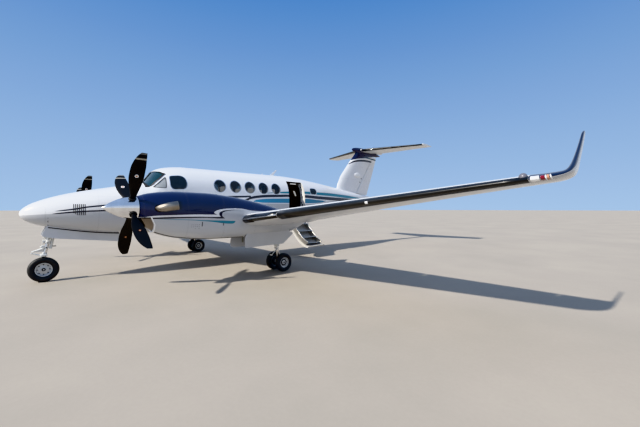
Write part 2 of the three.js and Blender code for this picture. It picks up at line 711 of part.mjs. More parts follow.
function makeNacelles() {
  const shell = ovalBody(nacelleTable, cowlFront, 5950, 0, smallPoints, trackHalf);
  const across = [trackHalf - 400, trackHalf + 400];
  const frontBlock = height => block(across, [aft(cowlFront - 100), aft(lowerLip)], [800, height]);
  const engineSpace = cut(ovalBody(nacelleTable, cowlFront + 30, firewall, -30, smallPoints, trackHalf),
    frontBlock(blueEdge + 30));
  const shaftHole = rod([trackHalf, aft(1500), thrust.height], [trackHalf, aft(1900), thrust.height], 130);
  const lip = sidePlate(stationed([
    [cowlFront - 100, blueEdge], [lowerLip, blueEdge], [1826, 1330], [1838, 1184], [1800, 900],
    [cowlFront - 100, 900],
  ]), ...across);
  const bay = block([trackHalf - mainBay.half, trackHalf + mainBay.half],
    [aft(mainBay.front), aft(mainBay.back)], [800, mainBay.roof]);
  pair('nacelle', cut(shell, engineSpace, shaftHole, lip, bay, exhaust(12, 1), exhaust(12, -1)), 'bluePaint');

  const engineBody = turnedAlong([
    [0, aft(engineFront)], [150, aft(engineFront)], [engineRadius, aft(engineFront + 90)],
    [engineRadius, aft(firewall - seat)], [0, aft(firewall - seat)],
  ]);
  const stubs = [1, -1].map(side => exhaust(0, side));
  const mouths = [1, -1].map(side => exhaust(-9, side, [...exhaustPath.slice(3), [475, 2340, 1712, 87]]));

  // The air intake under the engine: a duct of the cowl's form with a slanting mouth
  const ductShape = (grow, drop) => ovalBody(nacelleTable, 1610, intakeBack - drop, grow, smallPoints, trackHalf)
    .intersect(sidePlate(stationed([
      [1620, blueEdge - 15 - drop], [1786, 1180], [1786, 1000], [2000, 1000], [2000, blueEdge - 15 - drop],
    ]), ...across));
  const duct = cut(ductShape(-45, 0), moved(ductShape(-57, 22), 0, -12, 0));
  pair('engine', cut(join(moved(engineBody, trackHalf, 0, thrust.height), duct, ...stubs), ...mouths), 'bareSteel');
}

// Blade columns: radius, chord, thickness, sweep back, pitch in degrees from the disc, lean aft
const bladeTable = [
  [90, 90, 88, 0, 60, 0],
  [215, 88, 68, 0, 70, 3],
  [300, 112, 50, -4, 73, 7],
  [400, 152, 34, -10, 76, 12],
  [520, 206, 26, -20, 79, 20],
  [700, 242, 20, -30, 81, 30],
  [860, 236, 15, -34, 83, 38],
  [1000, 198, 11, -30, 85, 45],
  [1100, 150, 8, -18, 86, 51],
  [propellerRadius, 92, 6, 0, 86, 55],
];

function blade() {
  const rings = bladeTable.map(([radius, chord, thickness, sweep, pitch, lean]) => {
    const turn = radians(pitch);
    const count = 8;
    return Array.from({ length: count }, (unused, k) => {
      const angle = (k / count) * 2 * Math.PI;
      const along = (chord / 2) * Math.cos(angle) + sweep;
      const thick = (thickness / 2) * Math.sin(angle);
      return [
        along * Math.cos(turn) - thick * Math.sin(turn),
        along * Math.sin(turn) + thick * Math.cos(turn) + lean,
        radius,
      ];
    });
  });
  return loft(rings);
}

function turnedBlade(manifold, degrees) {
  return swung(manifold, [0, 0], degrees);
}

function makePropellers() {
  const blades = Array.from({ length: bladeCount }, (unused, i) =>
    turnedBlade(blade(), firstBladeAngle + (i * 360) / bladeCount));
  const hub = turnedAlong([[0, -95], [120, -95], [135, -70], [135, 80], [0, 80]], 16);
  const shaft = turnedAlong([[0, 60], [60, 60], [60, engineFront - seat - thrust.hub],
    [0, engineFront - seat - thrust.hub]], 12);
  const propeller = join(hub, shaft, ...blades);

  const tip = thrust.spinnerTip - thrust.hub;
  const back = thrust.spinnerBack - thrust.hub;
  const profile = [[0, tip]];
  const steps = 5;
  for (let i = 1; i <= steps; i += 1) {
    const t = i / steps;
    profile.push([thrust.spinnerRadius * (1 - (1 - t) ** 2.1), tip + t * (back - 60 - tip)]);
  }
  profile.push([thrust.spinnerRadius, back], [0, back]);
  const hubSpace = turnedAlong([[0, -95 - seat], [135 + seat, -95 - seat], [135 + seat, back + 10], [0, back + 10]], 16);
  const holes = Array.from({ length: bladeCount }, (unused, i) =>
    turnedBlade(rod([0, 0, 100], [0, 0, 260], 68), firstBladeAngle + (i * 360) / bladeCount));
  const spinner = cut(turnedAlong(profile, 18), hubSpace, ...holes);
  for (const [name, x] of [['port', trackHalf], ['starboard', -trackHalf]]) {
    piece(`propeller_${name}`, moved(propeller, x, aft(thrust.hub), thrust.height), 'bladeBlack');
    piece(`spinner_${name}`, moved(spinner, x, aft(thrust.hub), thrust.height), 'chrome');
  }
}

// Tail

function finRing([height, front, back, hinge], shape) {
  const chord = back - front;
  return shape(finThickness, chord, 0, (hinge - front) / chord)
    .map(([c, t]) => [t * chord, aft(front + c * chord), height]);
}

function finBody(from, to, shape) {
  const inside = finTable.filter(row => row[0] > from && row[0] < to);
  return loft([rowAt(finTable, from), ...inside, rowAt(finTable, to)].map(row => finRing(row, shape)));
}

function makeTail() {
  const bulletClear = ovalBody(bulletTable, bulletNose, overallLength, seat, smallPoints);
  const rudderSpace = finBody(2100, rudderSpan.top + rudderSpan.rise, controlSpace);
  piece('fin', cut(finBody(2180, 4330, aerofoil), rudderSpace, fuselageClear, bulletClear), 'silverPaint');

  const rudderRoom = ovalBody(fuselageTable, 11000, tailEnd, rudderSpan.clearance);
  const hingeAt = height => new THREE.Vector3(0, aft(rowAt(finTable, height)[3]), height);
  const lean = hingeAt(rudderSpan.top).sub(hingeAt(2600)).normalize();
  const topPin = rod(hingeAt(rudderSpan.top).addScaledVector(lean, -pinRoot).toArray(),
    hingeAt(rudderSpan.top).addScaledVector(lean, (rudderSpan.rise - seat - pinRadius * lean.y) / lean.z).toArray(),
    pinRadius);
  const rudderSkin = cut(finBody(rudderSpan.bottom, rudderSpan.top, controlSection), rudderRoom);
  piece('rudder', join(rudderSkin, topPin), 'silverPaint');

  const { from, to, hinge } = controls.elevator;
  const half = spanBody(tailplaneTable, 0, tailplaneTable.at(-1)[0], wholeSection, 0, 0);
  const space = spanBody(tailplaneTable, from - controlEndGap, to + controlEndGap, controlCutter(hinge), 0, 0);
  const port = cut(half, space);
  piece('tailplane', join(port, mirrored(port), ovalBody(bulletTable, bulletNose, overallLength, 0, smallPoints)), 'navyPaint');
  const ends = [from, to].map(place => hingePoint(tailplaneTable, place, controls.elevator, 0, 0));
  pair('elevator', join(spanBody(tailplaneTable, from, to, controlShape(hinge), 0, 0),
    ...hingePins(...ends, controlEndGap - pinEndGap)), 'silverPaint');
}

// Landing gear

// A tyre across X about the origin; it meets its rim along a flat seat.
function tyre({ radius, width, rim }) {
  const half = width / 2;
  const wall = radius - rim;
  return turnedAcross([
    [rim + seat, -half * 0.72], [rim + wall * 0.45, -half], [rim + wall * 0.82, -half * 0.88],
    [radius - wall * 0.03, -half * 0.55], [radius, 0], [radius - wall * 0.03, half * 0.55],
    [rim + wall * 0.82, half * 0.88], [rim + wall * 0.45, half], [rim + seat, half * 0.72],
    [rim + seat, -half * 0.72],
  ], wheelSides);
}

// A dished wheel with a raised flange at each side
function rim({ rim: radius, width }) {
  const half = width / 2;
  return turnedAcross([
    [0, -half * 0.35], [radius * 0.4, -half * 0.3], [radius * 0.78, -half * 0.25],
    [radius * 0.86, -half * 0.72], [radius, -half * 0.72], [radius, half * 0.72], [radius * 0.86, half * 0.72],
    [radius * 0.78, half * 0.25], [radius * 0.4, half * 0.3], [0, half * 0.35],
  ], wheelSides);
}

function makeNoseGear() {
  const axleY = aft(noseWheel.station);
  const place = part => moved(part, 0, axleY, noseWheel.radius);
  piece('nose_tyre', place(tyre(noseWheel)), 'rubber');
  const axleHalf = noseWheel.width / 2 + 52;
  const axle = turnedAcross([[0, -axleHalf], [noseWheel.axle, -axleHalf], [noseWheel.axle, 70], [0, 70]], 12);
  piece('nose_wheel', place(join(rim(noseWheel), axle)), 'gearGrey');

  const top = [0, aft(noseLegTop.station), noseLegTop.height];
  const foot = [0, aft(noseLegFoot.station), noseLegFoot.height];
  const trunnion = rod([-noseBay.half + seat, ...top.slice(1)], [noseBay.half - seat, ...top.slice(1)], 34);
  const brace = rod([0, aft(530), 1150], [0, aft(1230), noseBay.roof - 40], 24);
  const braceFoot = block([-60, 60], [aft(1190), aft(1270)], [noseBay.roof - 60, noseBay.roof - seat]);
  const lamps = noseLamps.map(([station, height]) =>
    rod([0, aft(station), height], [0, aft(station + 85), height - 18], 56, 40));
  piece('nose_leg', join(rod(top, foot, 52), trunnion, brace, braceFoot, ...lamps), 'gearGrey');

  const along = new THREE.Vector3(...foot).sub(new THREE.Vector3(...top)).normalize();
  const start = new THREE.Vector3(...foot).addScaledVector(along, 1);
  const crown = new THREE.Vector3(...foot).addScaledVector(along, 80);
  const armX = noseWheel.width / 2 + 30;
  const crownTop = 618;
  const solids = [
    rod(start.toArray(), crown.toArray(), 40),
    block([-armX - 20, 70], [crown.y - 55, crown.y + 55], [crownTop - 48, crownTop]),
    sidePlate([
      [crown.y - 50, crownTop - 10], [crown.y + 50, crownTop - 10], [axleY + 34, noseWheel.radius],
      [axleY + 20, noseWheel.radius - 38], [axleY - 20, noseWheel.radius - 38], [axleY - 34, noseWheel.radius],
    ], -armX - 18, -armX + 18),
  ];
  const boreRadius = noseWheel.axle + axleRunning;
  const bore = rod([-300, axleY, noseWheel.radius], [300, axleY, noseWheel.radius], boreRadius, boreRadius, 16);
  piece('nose_fork', cut(join(...solids), bore), 'gearGrey');

  const plateX = noseBay.half - seat;
  const bottom = station => rowAt(fuselageTable, station)[2];
  const outline = [
    [458, bottom(458) + 50], [770, bottom(770) + 60], [1260, bottom(1260) + 50], [1815, bottom(1815) + 40],
    [1815, 816], [550, 968], [400, 1008], [352, 1037], [360, 1070], [448, 1205],
  ];
  pair('nose_gear_door', sidePlate(stationed(outline), plateX - 14, plateX), 'silverPaint');
}

function makeMainGear() {
  const axle = [trackHalf, aft(mainWheel.station), mainWheel.radius];
  const place = (part, x) => moved(part, trackHalf + x, axle[1], axle[2]);
  const offset = mainWheel.spacing / 2;
  pair('main_tyre_outer', place(tyre(mainWheel), offset), 'rubber');
  pair('main_tyre_inner', place(tyre(mainWheel), -offset), 'rubber');
  const shaft = turnedAcross([[0, -offset], [mainWheel.axle, -offset], [mainWheel.axle, offset], [0, offset]], 12);
  pair('main_wheels',
    join(place(rim(mainWheel), offset), place(rim(mainWheel), -offset), place(shaft, 0)), 'gearGrey');

  const top = [trackHalf, aft(mainLegTop.station), mainLegTop.height];
  const collar = mainWheel.spacing / 2 - mainWheel.width / 2 - 30;
  const boreRadius = mainWheel.axle + axleRunning;
  const bore = rod([trackHalf - 200, axle[1], axle[2]], [trackHalf + 200, axle[1], axle[2]],
    boreRadius, boreRadius, 16);
  const knee = [trackHalf, aft(mainWheel.station - 62), 640];
  const reach = mainBay.half - seat;
  const solids = [
    rod(top, knee, 62), rod(knee, axle, 42),
    rod([trackHalf - collar, axle[1], axle[2]], [trackHalf + collar, axle[1], axle[2]], 58),
    rod([trackHalf - reach, ...top.slice(1)], [trackHalf + reach, ...top.slice(1)], 40),
    rod([trackHalf, aft(4840), 940], [trackHalf, aft(4120), mainBay.roof - 60], 28),
    block([trackHalf - 70, trackHalf + 70], [aft(4080), aft(4170)], [mainBay.roof - 90, mainBay.roof - seat]),
    rod([trackHalf, aft(4790), 560], [trackHalf, aft(4700), 420], 18),
    rod([trackHalf, aft(4700), 420], [trackHalf, aft(4900), 290], 18),
    rod([trackHalf, aft(4860), 570], [trackHalf, aft(4780), 555], 22),
  ];
  pair('main_leg', cut(join(...solids), bore), 'gearGrey');

  const doorRear = [[4869, 733], [5221, 993], [5072, 1050], [5060, 1120], [3800, 1110]];
  const doorFronts = {
    outer: [[3790, 1020], [3759, 968], [3763, 714], [4285, 727]],
    inner: [[3780, 1000], [3694, 897], [3679, 745], [3715, 700], [3806, 677], [4072, 679], [4500, 706]],
  };
  for (const [name, side] of [['outer', 1], ['inner', -1]]) {
    const outside = trackHalf + side * (mainBay.half - seat);
    const inside = outside - side * 16;
    const outline = stationed([...doorFronts[name], ...doorRear]);
    pair(`main_gear_door_${name}`, sidePlate(outline, Math.min(inside, outside), Math.max(inside, outside)),
      'silverPaint');
  }
}

makeFuselage();
makeGlazing();
makeAirstair();
makeInterior();
makeWings();
makeNacelles();
makePropellers();
makeTail();
makeNoseGear();
makeMainGear();

export default aircraft;
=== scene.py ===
# Twin turboprop aircraft with its stair let down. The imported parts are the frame, and smooth skins,
# paint, glass, interior and gear detail are built around them. Sizes in the tables are millimetres,
# and a station is a distance aft of the nose tip.
import math

import bmesh
import bpy
from mathutils import Matrix, Vector


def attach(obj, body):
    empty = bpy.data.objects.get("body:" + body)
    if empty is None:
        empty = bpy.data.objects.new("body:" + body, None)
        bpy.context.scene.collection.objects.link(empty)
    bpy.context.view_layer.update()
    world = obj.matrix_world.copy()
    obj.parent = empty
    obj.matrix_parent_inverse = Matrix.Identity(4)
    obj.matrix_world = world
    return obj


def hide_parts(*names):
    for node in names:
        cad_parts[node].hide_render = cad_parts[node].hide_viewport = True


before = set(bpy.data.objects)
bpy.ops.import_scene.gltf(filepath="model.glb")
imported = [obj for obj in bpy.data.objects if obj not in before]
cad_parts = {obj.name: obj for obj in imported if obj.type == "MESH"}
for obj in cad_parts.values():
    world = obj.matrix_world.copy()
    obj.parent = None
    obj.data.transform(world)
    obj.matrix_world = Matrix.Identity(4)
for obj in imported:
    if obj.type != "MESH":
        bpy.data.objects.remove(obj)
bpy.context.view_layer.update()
print("frame loaded with", len(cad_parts), "parts")

mm = 0.001
noseY = -6.68      # the nose tip, in metres
track = 2615       # centre line of each nacelle
fullTurn = 2 * math.pi


def aft(station):
    return noseY + station * mm


# ---- meshes ----

def curveThrough(table, warp=lambda place: place):
    # a row at any place of a table, on a smooth curve that doesn't overshoot
    places = [warp(row[0]) for row in table]
    columns = list(zip(*[row[1:] for row in table]))
    slopes = []
    for values in columns:
        steps = [(values[i + 1] - values[i]) / (places[i + 1] - places[i]) for i in range(len(places) - 1)]
        inner = [0 if a * b <= 0 else 2 * a * b / (a + b) for a, b in zip(steps, steps[1:])]
        slopes.append([steps[0], *inner, steps[-1]])

    def row(place):
        at = min(max(warp(place), places[0]), places[-1])
        i = max(k for k in range(len(places) - 1) if places[k] <= at)
        gap = places[i + 1] - places[i]
        t = (at - places[i]) / gap
        a, b, c, d = 2 * t**3 - 3 * t**2 + 1, t**3 - 2 * t**2 + t, 3 * t**2 - 2 * t**3, t**3 - t**2
        return [a * v[i] + b * gap * s[i] + c * v[i + 1] + d * gap * s[i + 1] for v, s in zip(columns, slopes)]
    return row


def linearRow(table, place):
    i = max([k for k in range(len(table) - 1) if table[k][0] <= place] or [0])
    a, b = table[i], table[i + 1]
    t = (place - a[0]) / (b[0] - a[0])
    return [x + (y - x) * t for x, y in zip(a, b)]


def spread(start, end, step):
    count = max(1, round((end - start) / step))
    return [start + (end - start) * i / count for i in range(count + 1)]


def evenly(points, count):
    # the same closed outline with its points spaced evenly
    closed = points + points[:1]
    lengths = [0.0]
    for a, b in zip(closed, closed[1:]):
        lengths.append(lengths[-1] + (b - a).length)
    spaced, i = [], 0
    for k in range(count):
        want = lengths[-1] * k / count
        while lengths[i + 1] < want:
            i += 1
        t = (want - lengths[i]) / max(lengths[i + 1] - lengths[i], 1e-9)
        spaced.append(closed[i].lerp(closed[i + 1], t))
    return spaced


def firstRing(bm, points, closed):
    if not closed:
        chain = [bm.verts.new(p) for p in points]
        for a, b in zip(chain, chain[1:]):
            bm.edges.new((a, b))
        return chain
    ring = [None] * len(points)
    for vert in bmesh.ops.create_circle(bm, segments=len(points), radius=1)["verts"]:
        k = round(math.atan2(-vert.co.x, vert.co.y) / fullTurn * len(points)) % len(points)
        ring[k] = vert
    for vert, point in zip(ring, points):
        vert.co = point
    return ring


def loft(bm, rings, closed=True, capped=(True, True)):
    # a skin through outlines with the same number of points
    ring = first = firstRing(bm, rings[0], closed)
    for points in rings[1:]:
        pairs = list(zip(ring, ring[1:] + ring[:1])) if closed else list(zip(ring, ring[1:]))
        made = bmesh.ops.extrude_edge_only(bm, edges=[bm.edges.get(pair) for pair in pairs])["geom"]
        fresh = {item for item in made if isinstance(item, bmesh.types.BMVert)}
        ring = [next(e.other_vert(v) for e in v.link_edges if e.other_vert(v) in fresh) for v in ring]
        for vert, point in zip(ring, points):
            vert.co = point
    for end, wanted in ((first, capped[0]), (ring, capped[1])):
        if closed and wanted:
            bmesh.ops.edgeloop_fill(bm, edges=[bm.edges.get(pair) for pair in zip(end, end[1:] + end[:1])])


def addBar(bm, start, end, radius, endRadius=None, segments=24):
    # a round bar between two points in metres
    start, end = Vector(start), Vector(end)
    run = end - start
    turned = Vector((0, 0, 1)).rotation_difference(run).to_matrix().to_4x4()
    return bmesh.ops.create_cone(
        bm, cap_ends=True, segments=segments, radius1=radius, radius2=radius if endRadius is None else endRadius,
        depth=run.length, matrix=Matrix.Translation((start + end) / 2) @ turned)["verts"]


def addBlock(bm, low, high, bevel=0.0, segments=2):
    low, high = Vector(low), Vector(high)
    verts = bmesh.ops.create_cube(bm, size=1)["verts"]
    bmesh.ops.scale(bm, vec=high - low, verts=verts)
    bmesh.ops.translate(bm, vec=(low + high) / 2, verts=verts)
    if bevel:
        edges = list({e for v in verts for e in v.link_edges})
        bmesh.ops.bevel(bm, geom=edges, offset=bevel, affect="EDGES", segments=segments, profile=0.5, material=-1)


def rounded(corners, radius, steps=4):
    # a flat outline with its corners rounded
    points = []
    for i, corner in enumerate(corners):
        here, before, after = Vector(corner), Vector(corners[i - 1]), Vector(corners[(i + 1) % len(corners)])
        a = here + (before - here).normalized() * min(radius, (before - here).length * 0.45)
        b = here + (after - here).normalized() * min(radius, (after - here).length * 0.45)
        for k in range(steps + 1):
            t = k / steps
            points.append(a * (1 - t) ** 2 + here * 2 * t * (1 - t) + b * t**2)
    return points


def grown(corners, distance):
    # a flat outline moved outwards by a distance
    area = sum(a[0] * b[1] - b[0] * a[1] for a, b in zip(corners, corners[1:] + corners[:1]))
    sign = 1 if area > 0 else -1
    moved = []
    for i, corner in enumerate(corners):
        here = Vector(corner)
        u = (here - Vector(corners[i - 1])).normalized()
        v = (Vector(corners[(i + 1) % len(corners)]) - here).normalized()
        m, n = Vector((u.y, -u.x)) * sign, Vector((v.y, -v.x)) * sign
        moved.append(tuple(here + (m + n) * distance / (1 + m.dot(n))))
    return moved


def addPlate(bm, points, depth):
    # a closed outline in space, pulled out along a vector
    face = bm.faces.new([bm.verts.new(p) for p in points])
    made = bmesh.ops.extrude_face_region(bm, geom=[face])["geom"]
    bmesh.ops.translate(bm, vec=depth, verts=[item for item in made if isinstance(item, bmesh.types.BMVert)])


def fromSide(outline, x0, x1, bm):
    # an outline of stations and heights, thick across the aircraft
    addPlate(bm, [Vector((x0 * mm, aft(s), z * mm)) for s, z in outline], ((x1 - x0) * mm, 0, 0))


def fromFront(outline, s0, s1, bm):
    # an outline across the aircraft, thick along it
    addPlate(bm, [Vector((x * mm, aft(s0), z * mm)) for x, z in outline], (0, (s1 - s0) * mm, 0))


def addSpun(bm, profile, centre, axis, segments=64):
    # a turned shape: points are radius and distance along the axis
    centre, axis = Vector(centre), Vector(axis).normalized()
    outwards = axis.orthogonal().normalized()
    chain = [bm.verts.new(centre + outwards * r + axis * d) for r, d in profile]
    edges = [bm.edges.new(pair) for pair in zip(chain, chain[1:])]
    made = bmesh.ops.spin(bm, geom=chain + edges, cent=centre, axis=axis, angle=fullTurn, steps=segments,
                          use_merge=True)
    near = [v for v in bm.verts if (v.co - centre).cross(axis).length < 1e-5]
    bmesh.ops.remove_doubles(bm, verts=near, dist=1e-5)
    return made


def makePiece(name, bm, *materials, sharp=34):
    bmesh.ops.recalc_face_normals(bm, faces=bm.faces)
    for face in bm.faces:
        face.smooth = True
    for edge in bm.edges:
        if len(edge.link_faces) == 2:
            edge.smooth = edge.calc_face_angle(0) < math.radians(sharp)
    mesh = bpy.data.meshes.new(name)
    bm.to_mesh(mesh)
    bm.free()
    piece = bpy.data.objects.new(name, mesh)
    bpy.context.scene.collection.objects.link(piece)
    for material in materials:
        mesh.materials.append(material)
    return piece


def reshape(piece, change, sharp=34):
    # runs a change on the mesh of a piece and sets its smooth and sharp edges again
    bm = bmesh.new()
    bm.from_mesh(piece.data)
    change(bm)
    for face in bm.faces:
        face.smooth = True
    for edge in bm.edges:
        if len(edge.link_faces) == 2:
            edge.smooth = edge.calc_face_angle(0) < math.radians(sharp)
    bm.to_mesh(piece.data)
    bm.free()


def carve(piece, *tools, operation="DIFFERENCE", sharp=34):
    for tool in tools:
        cutting = piece.modifiers.new("cut", "BOOLEAN")
        cutting.operation, cutting.solver, cutting.object = operation, "EXACT", tool
    bpy.context.view_layer.update()
    made = bpy.data.meshes.new_from_object(piece.evaluated_get(bpy.context.evaluated_depsgraph_get()))
    piece.modifiers.clear()
    piece.data = made
    for tool in tools:
        bpy.data.objects.remove(tool)
    reshape(piece, lambda bm: bmesh.ops.dissolve_degenerate(bm, edges=bm.edges, dist=1e-6), sharp)
    return piece


def paintFaces(piece, test, index):
    # gives a material slot to the faces whose middle and normal pass a test
    for polygon in piece.data.polygons:
        if test(polygon.center, polygon.normal):
            polygon.material_index = index


def tool(bm):
    return makePiece("tool", bm)


def solidify(piece, thickness, offset=-1):
    modifier = piece.modifiers.new("wall", "SOLIDIFY")
    modifier.thickness, modifier.offset = thickness, offset


def bevelEdges(piece, width, segments=2, angle=40):
    modifier = piece.modifiers.new("edges", "BEVEL")
    modifier.width, modifier.segments, modifier.angle_limit = width, segments, math.radians(angle)


def fit(piece, body, slot, *nodes):
    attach(piece, body)
    if nodes:
        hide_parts(*nodes)
    return piece


def bothSides(piece, body, slot, *nodes):
    # a port piece and its mirror image to starboard
    other = piece.copy()
    other.data = piece.data.copy()
    other.name = piece.name.replace("_port", "_starboard")
    bpy.context.scene.collection.objects.link(other)
    bm = bmesh.new()
    bm.from_mesh(other.data)
    bmesh.ops.scale(bm, vec=(-1, 1, 1), verts=bm.verts)
    bmesh.ops.reverse_faces(bm, faces=bm.faces)
    bm.to_mesh(other.data)
    bm.free()
    fit(piece, body, slot, *nodes)
    fit(other, body.replace("port", "starboard"), slot, *[n.replace("port", "starboard") for n in nodes])
    return piece, other


# ---- material nodes ----

def feed(tree, socket, value):
    if isinstance(value, bpy.types.NodeSocket):
        tree.links.new(value, socket)
    else:
        socket.default_value = value


def addMath(tree, operation, *values, clamp=False):
    node = tree.nodes.new("ShaderNodeMath")
    node.operation, node.use_clamp = operation, clamp
    for socket, value in zip(node.inputs, values):
        feed(tree, socket, value)
    return node.outputs[0]


def addMix(tree, share, a, b):
    node = tree.nodes.new("ShaderNodeMix")
    node.data_type = "RGBA"
    feed(tree, node.inputs[0], share)
    feed(tree, node.inputs[6], a)
    feed(tree, node.inputs[7], b)
    return node.outputs[2]


def addRange(tree, value, low, high, toLow=0.0, toHigh=1.0):
    node = tree.nodes.new("ShaderNodeMapRange")
    for socket, number in zip(node.inputs, (value, low, high, toLow, toHigh)):
        feed(tree, socket, number)
    return node.outputs[0]


def addNoise(tree, place, scale, detail=3.0, roughness=0.55):
    node = tree.nodes.new("ShaderNodeTexNoise")
    feed(tree, node.inputs["Vector"], place)
    node.inputs["Scale"].default_value = scale
    node.inputs["Detail"].default_value = detail
    node.inputs["Roughness"].default_value = roughness
    return node.outputs["Fac"]


def addCurve(tree, value, points):
    # a curve of heights in metres along a value in metres
    low, high = points[0][0], points[-1][0]
    bottom, top = min(p[1] for p in points) - 0.01, max(p[1] for p in points) + 0.01
    node = tree.nodes.new("ShaderNodeFloatCurve")
    curve = node.mapping.curves[0]
    scaled = [((x - low) / (high - low), (y - bottom) / (top - bottom)) for x, y in points]
    curve.points[0].location, curve.points[1].location = scaled[0], scaled[-1]
    for spot in scaled[1:-1]:
        curve.points.new(*spot)
    for point in curve.points:
        point.handle_type = "AUTO_CLAMPED"
    node.mapping.update()
    feed(tree, node.inputs["Value"], addRange(tree, value, low, high))
    return addRange(tree, node.outputs[0], 0.0, 1.0, bottom, top)


def addBand(tree, value, low, high, soft=0.003):
    # 1 between two edges, which may be curves
    rise = addRange(tree, addMath(tree, "SUBTRACT", value, low), -soft / 2, soft / 2)
    fall = addRange(tree, addMath(tree, "SUBTRACT", high, value), -soft / 2, soft / 2)
    return addMath(tree, "MULTIPLY", rise, fall)


def newGroup(name, inputs, outputs):
    group = bpy.data.node_groups.new(name, "ShaderNodeTree")
    kinds = {"colour": "NodeSocketColor", "number": "NodeSocketFloat", "vector": "NodeSocketVector"}
    for label, (kind, value) in inputs.items():
        group.interface.new_socket(label, in_out="INPUT", socket_type=kinds[kind]).default_value = value
    for label, kind in outputs.items():
        group.interface.new_socket(label, in_out="OUTPUT", socket_type=kinds[kind])
    return group, group.nodes.new("NodeGroupInput").outputs, group.nodes.new("NodeGroupOutput").inputs


def placeGroup(tree, group, **values):
    node = tree.nodes.new("ShaderNodeGroup")
    node.node_tree = group
    for label, value in values.items():
        feed(tree, node.inputs[label], value)
    return node.outputs


# paint film: faint mottling of the colour, uneven gloss and a fine ripple
paintFilm, given, result = newGroup(
    "paintFilm", {"Colour": ("colour", (0.8, 0.8, 0.8, 1)), "Place": ("vector", (0, 0, 0)),
                  "Grime": ("colour", (0.25, 0.23, 0.2, 1)), "Amount": ("number", 0.06), "Gloss": ("number", 0.2)},
    {"Colour": "colour", "Roughness": "number", "Height": "number"})
cloud = addNoise(paintFilm, given["Place"], 1.7, 6.0, 0.62)
streak = addNoise(paintFilm, given["Place"], 14.0, 4.0)
worn = addMath(paintFilm, "MULTIPLY", addRange(paintFilm, cloud, 0.42, 0.75), given["Amount"])
feed(paintFilm, result["Colour"], addMix(paintFilm, worn, given["Colour"], given["Grime"]))
feed(paintFilm, result["Roughness"], addMath(paintFilm, "MULTIPLY_ADD", streak, 0.12, given["Gloss"]))
feed(paintFilm, result["Height"], addNoise(paintFilm, given["Place"], 90.0, 1.0))

# seams between skin panels, with rivets beside them
skinSeams, given, result = newGroup(
    "skinSeams", {"Along": ("number", 0), "Across": ("number", 0), "Pitch": ("number", 1.0),
                  "Shift": ("number", 0.0), "Width": ("number", 0.003)},
    {"Seam": "number", "Rivets": "number"})
away = addMath(skinSeams, "PINGPONG", addMath(skinSeams, "ADD", given["Along"], given["Shift"]),
               addMath(skinSeams, "MULTIPLY", given["Pitch"], 0.5))
feed(skinSeams, result["Seam"], addMath(skinSeams, "LESS_THAN", away, addMath(skinSeams, "MULTIPLY", given["Width"], 0.5)))
beside = addMath(skinSeams, "COMPARE", away, 0.018, 0.0028)
dotted = addMath(skinSeams, "LESS_THAN", addMath(skinSeams, "PINGPONG", given["Across"], 0.0125), 0.0026)
feed(skinSeams, result["Rivets"], addMath(skinSeams, "MULTIPLY", beside, dotted))


def startMaterial(name, metallic=0.0, coat=0.0, coatRoughness=0.05, **extra):
    material = bpy.data.materials.new(name)
    material.use_nodes = True
    tree = material.node_tree
    shader = tree.nodes["Principled BSDF"]
    shader.inputs["Metallic"].default_value = metallic
    shader.inputs["Coat Weight"].default_value = coat
    shader.inputs["Coat Roughness"].default_value = coatRoughness
    for label, value in extra.items():
        shader.inputs[label].default_value = value
    place = tree.nodes.new("ShaderNodeTexCoord").outputs["Object"]
    return material, tree, shader, place


def addBump(tree, shader, height, strength, distance):
    bump = tree.nodes.new("ShaderNodeBump")
    bump.inputs["Strength"].default_value = strength
    bump.inputs["Distance"].default_value = distance
    feed(tree, bump.inputs["Height"], height)
    feed(tree, shader.inputs["Normal"], bump.outputs[0])


def finishPaint(tree, shader, place, colour, gloss=0.2, amount=0.06, seams=None, grime=(0.25, 0.23, 0.2, 1)):
    height = None
    if seams:
        axes = tree.nodes.new("ShaderNodeSeparateXYZ")
        feed(tree, axes.inputs[0], place)
        for along, across, pitch, shift in seams:
            lines = placeGroup(tree, skinSeams, Along=axes.outputs[along], Across=axes.outputs[across],
                               Pitch=pitch, Shift=shift)
            colour = addMix(tree, addMath(tree, "MULTIPLY", lines["Seam"], 0.45), colour, (0.12, 0.12, 0.13, 1))
            colour = addMix(tree, addMath(tree, "MULTIPLY", lines["Rivets"], 0.22), colour, (0.2, 0.2, 0.21, 1))
            height = lines["Seam"] if height is None else addMath(tree, "MAXIMUM", height, lines["Seam"])
    film = placeGroup(tree, paintFilm, Colour=colour, Place=place, Amount=amount, Gloss=gloss, Grime=grime)
    feed(tree, shader.inputs["Base Color"], film["Colour"])
    feed(tree, shader.inputs["Roughness"], film["Roughness"])
    ripple = addMath(tree, "MULTIPLY", film["Height"], 0.06)
    addBump(tree, shader, ripple if height is None else addMath(tree, "SUBTRACT", ripple, height), 0.25, 0.002)


def plainPaint(name, colour, gloss=0.2, coat=0.5, amount=0.06, metallic=0.0, seams=None):
    material, tree, shader, place = startMaterial(name, metallic, coat)
    finishPaint(tree, shader, place, (*colour, 1), gloss, amount, seams)
    return material


colours = {
    "white": (0.80, 0.81, 0.83, 1), "silver": (0.50, 0.515, 0.545, 1), "royalBlue": (0.001, 0.0045, 0.046, 1),
    "navy": (0.003, 0.003, 0.022, 1), "deepTeal": (0.006, 0.055, 0.10, 1), "capBlue": (0.003, 0.004, 0.045, 1),
    "teal": (0.01, 0.20, 0.29, 1), "bandFront": (0.012, 0.27, 0.50, 1),
    "bandBack": (0.01, 0.17, 0.31, 1),
}


def splitPlace(tree, place):
    # distance across, station aft of the nose tip, and height, all in metres
    axes = tree.nodes.new("ShaderNodeSeparateXYZ")
    feed(tree, axes.inputs[0], place)
    return axes.outputs[0], addMath(tree, "SUBTRACT", axes.outputs[1], noseY), axes.outputs[2]


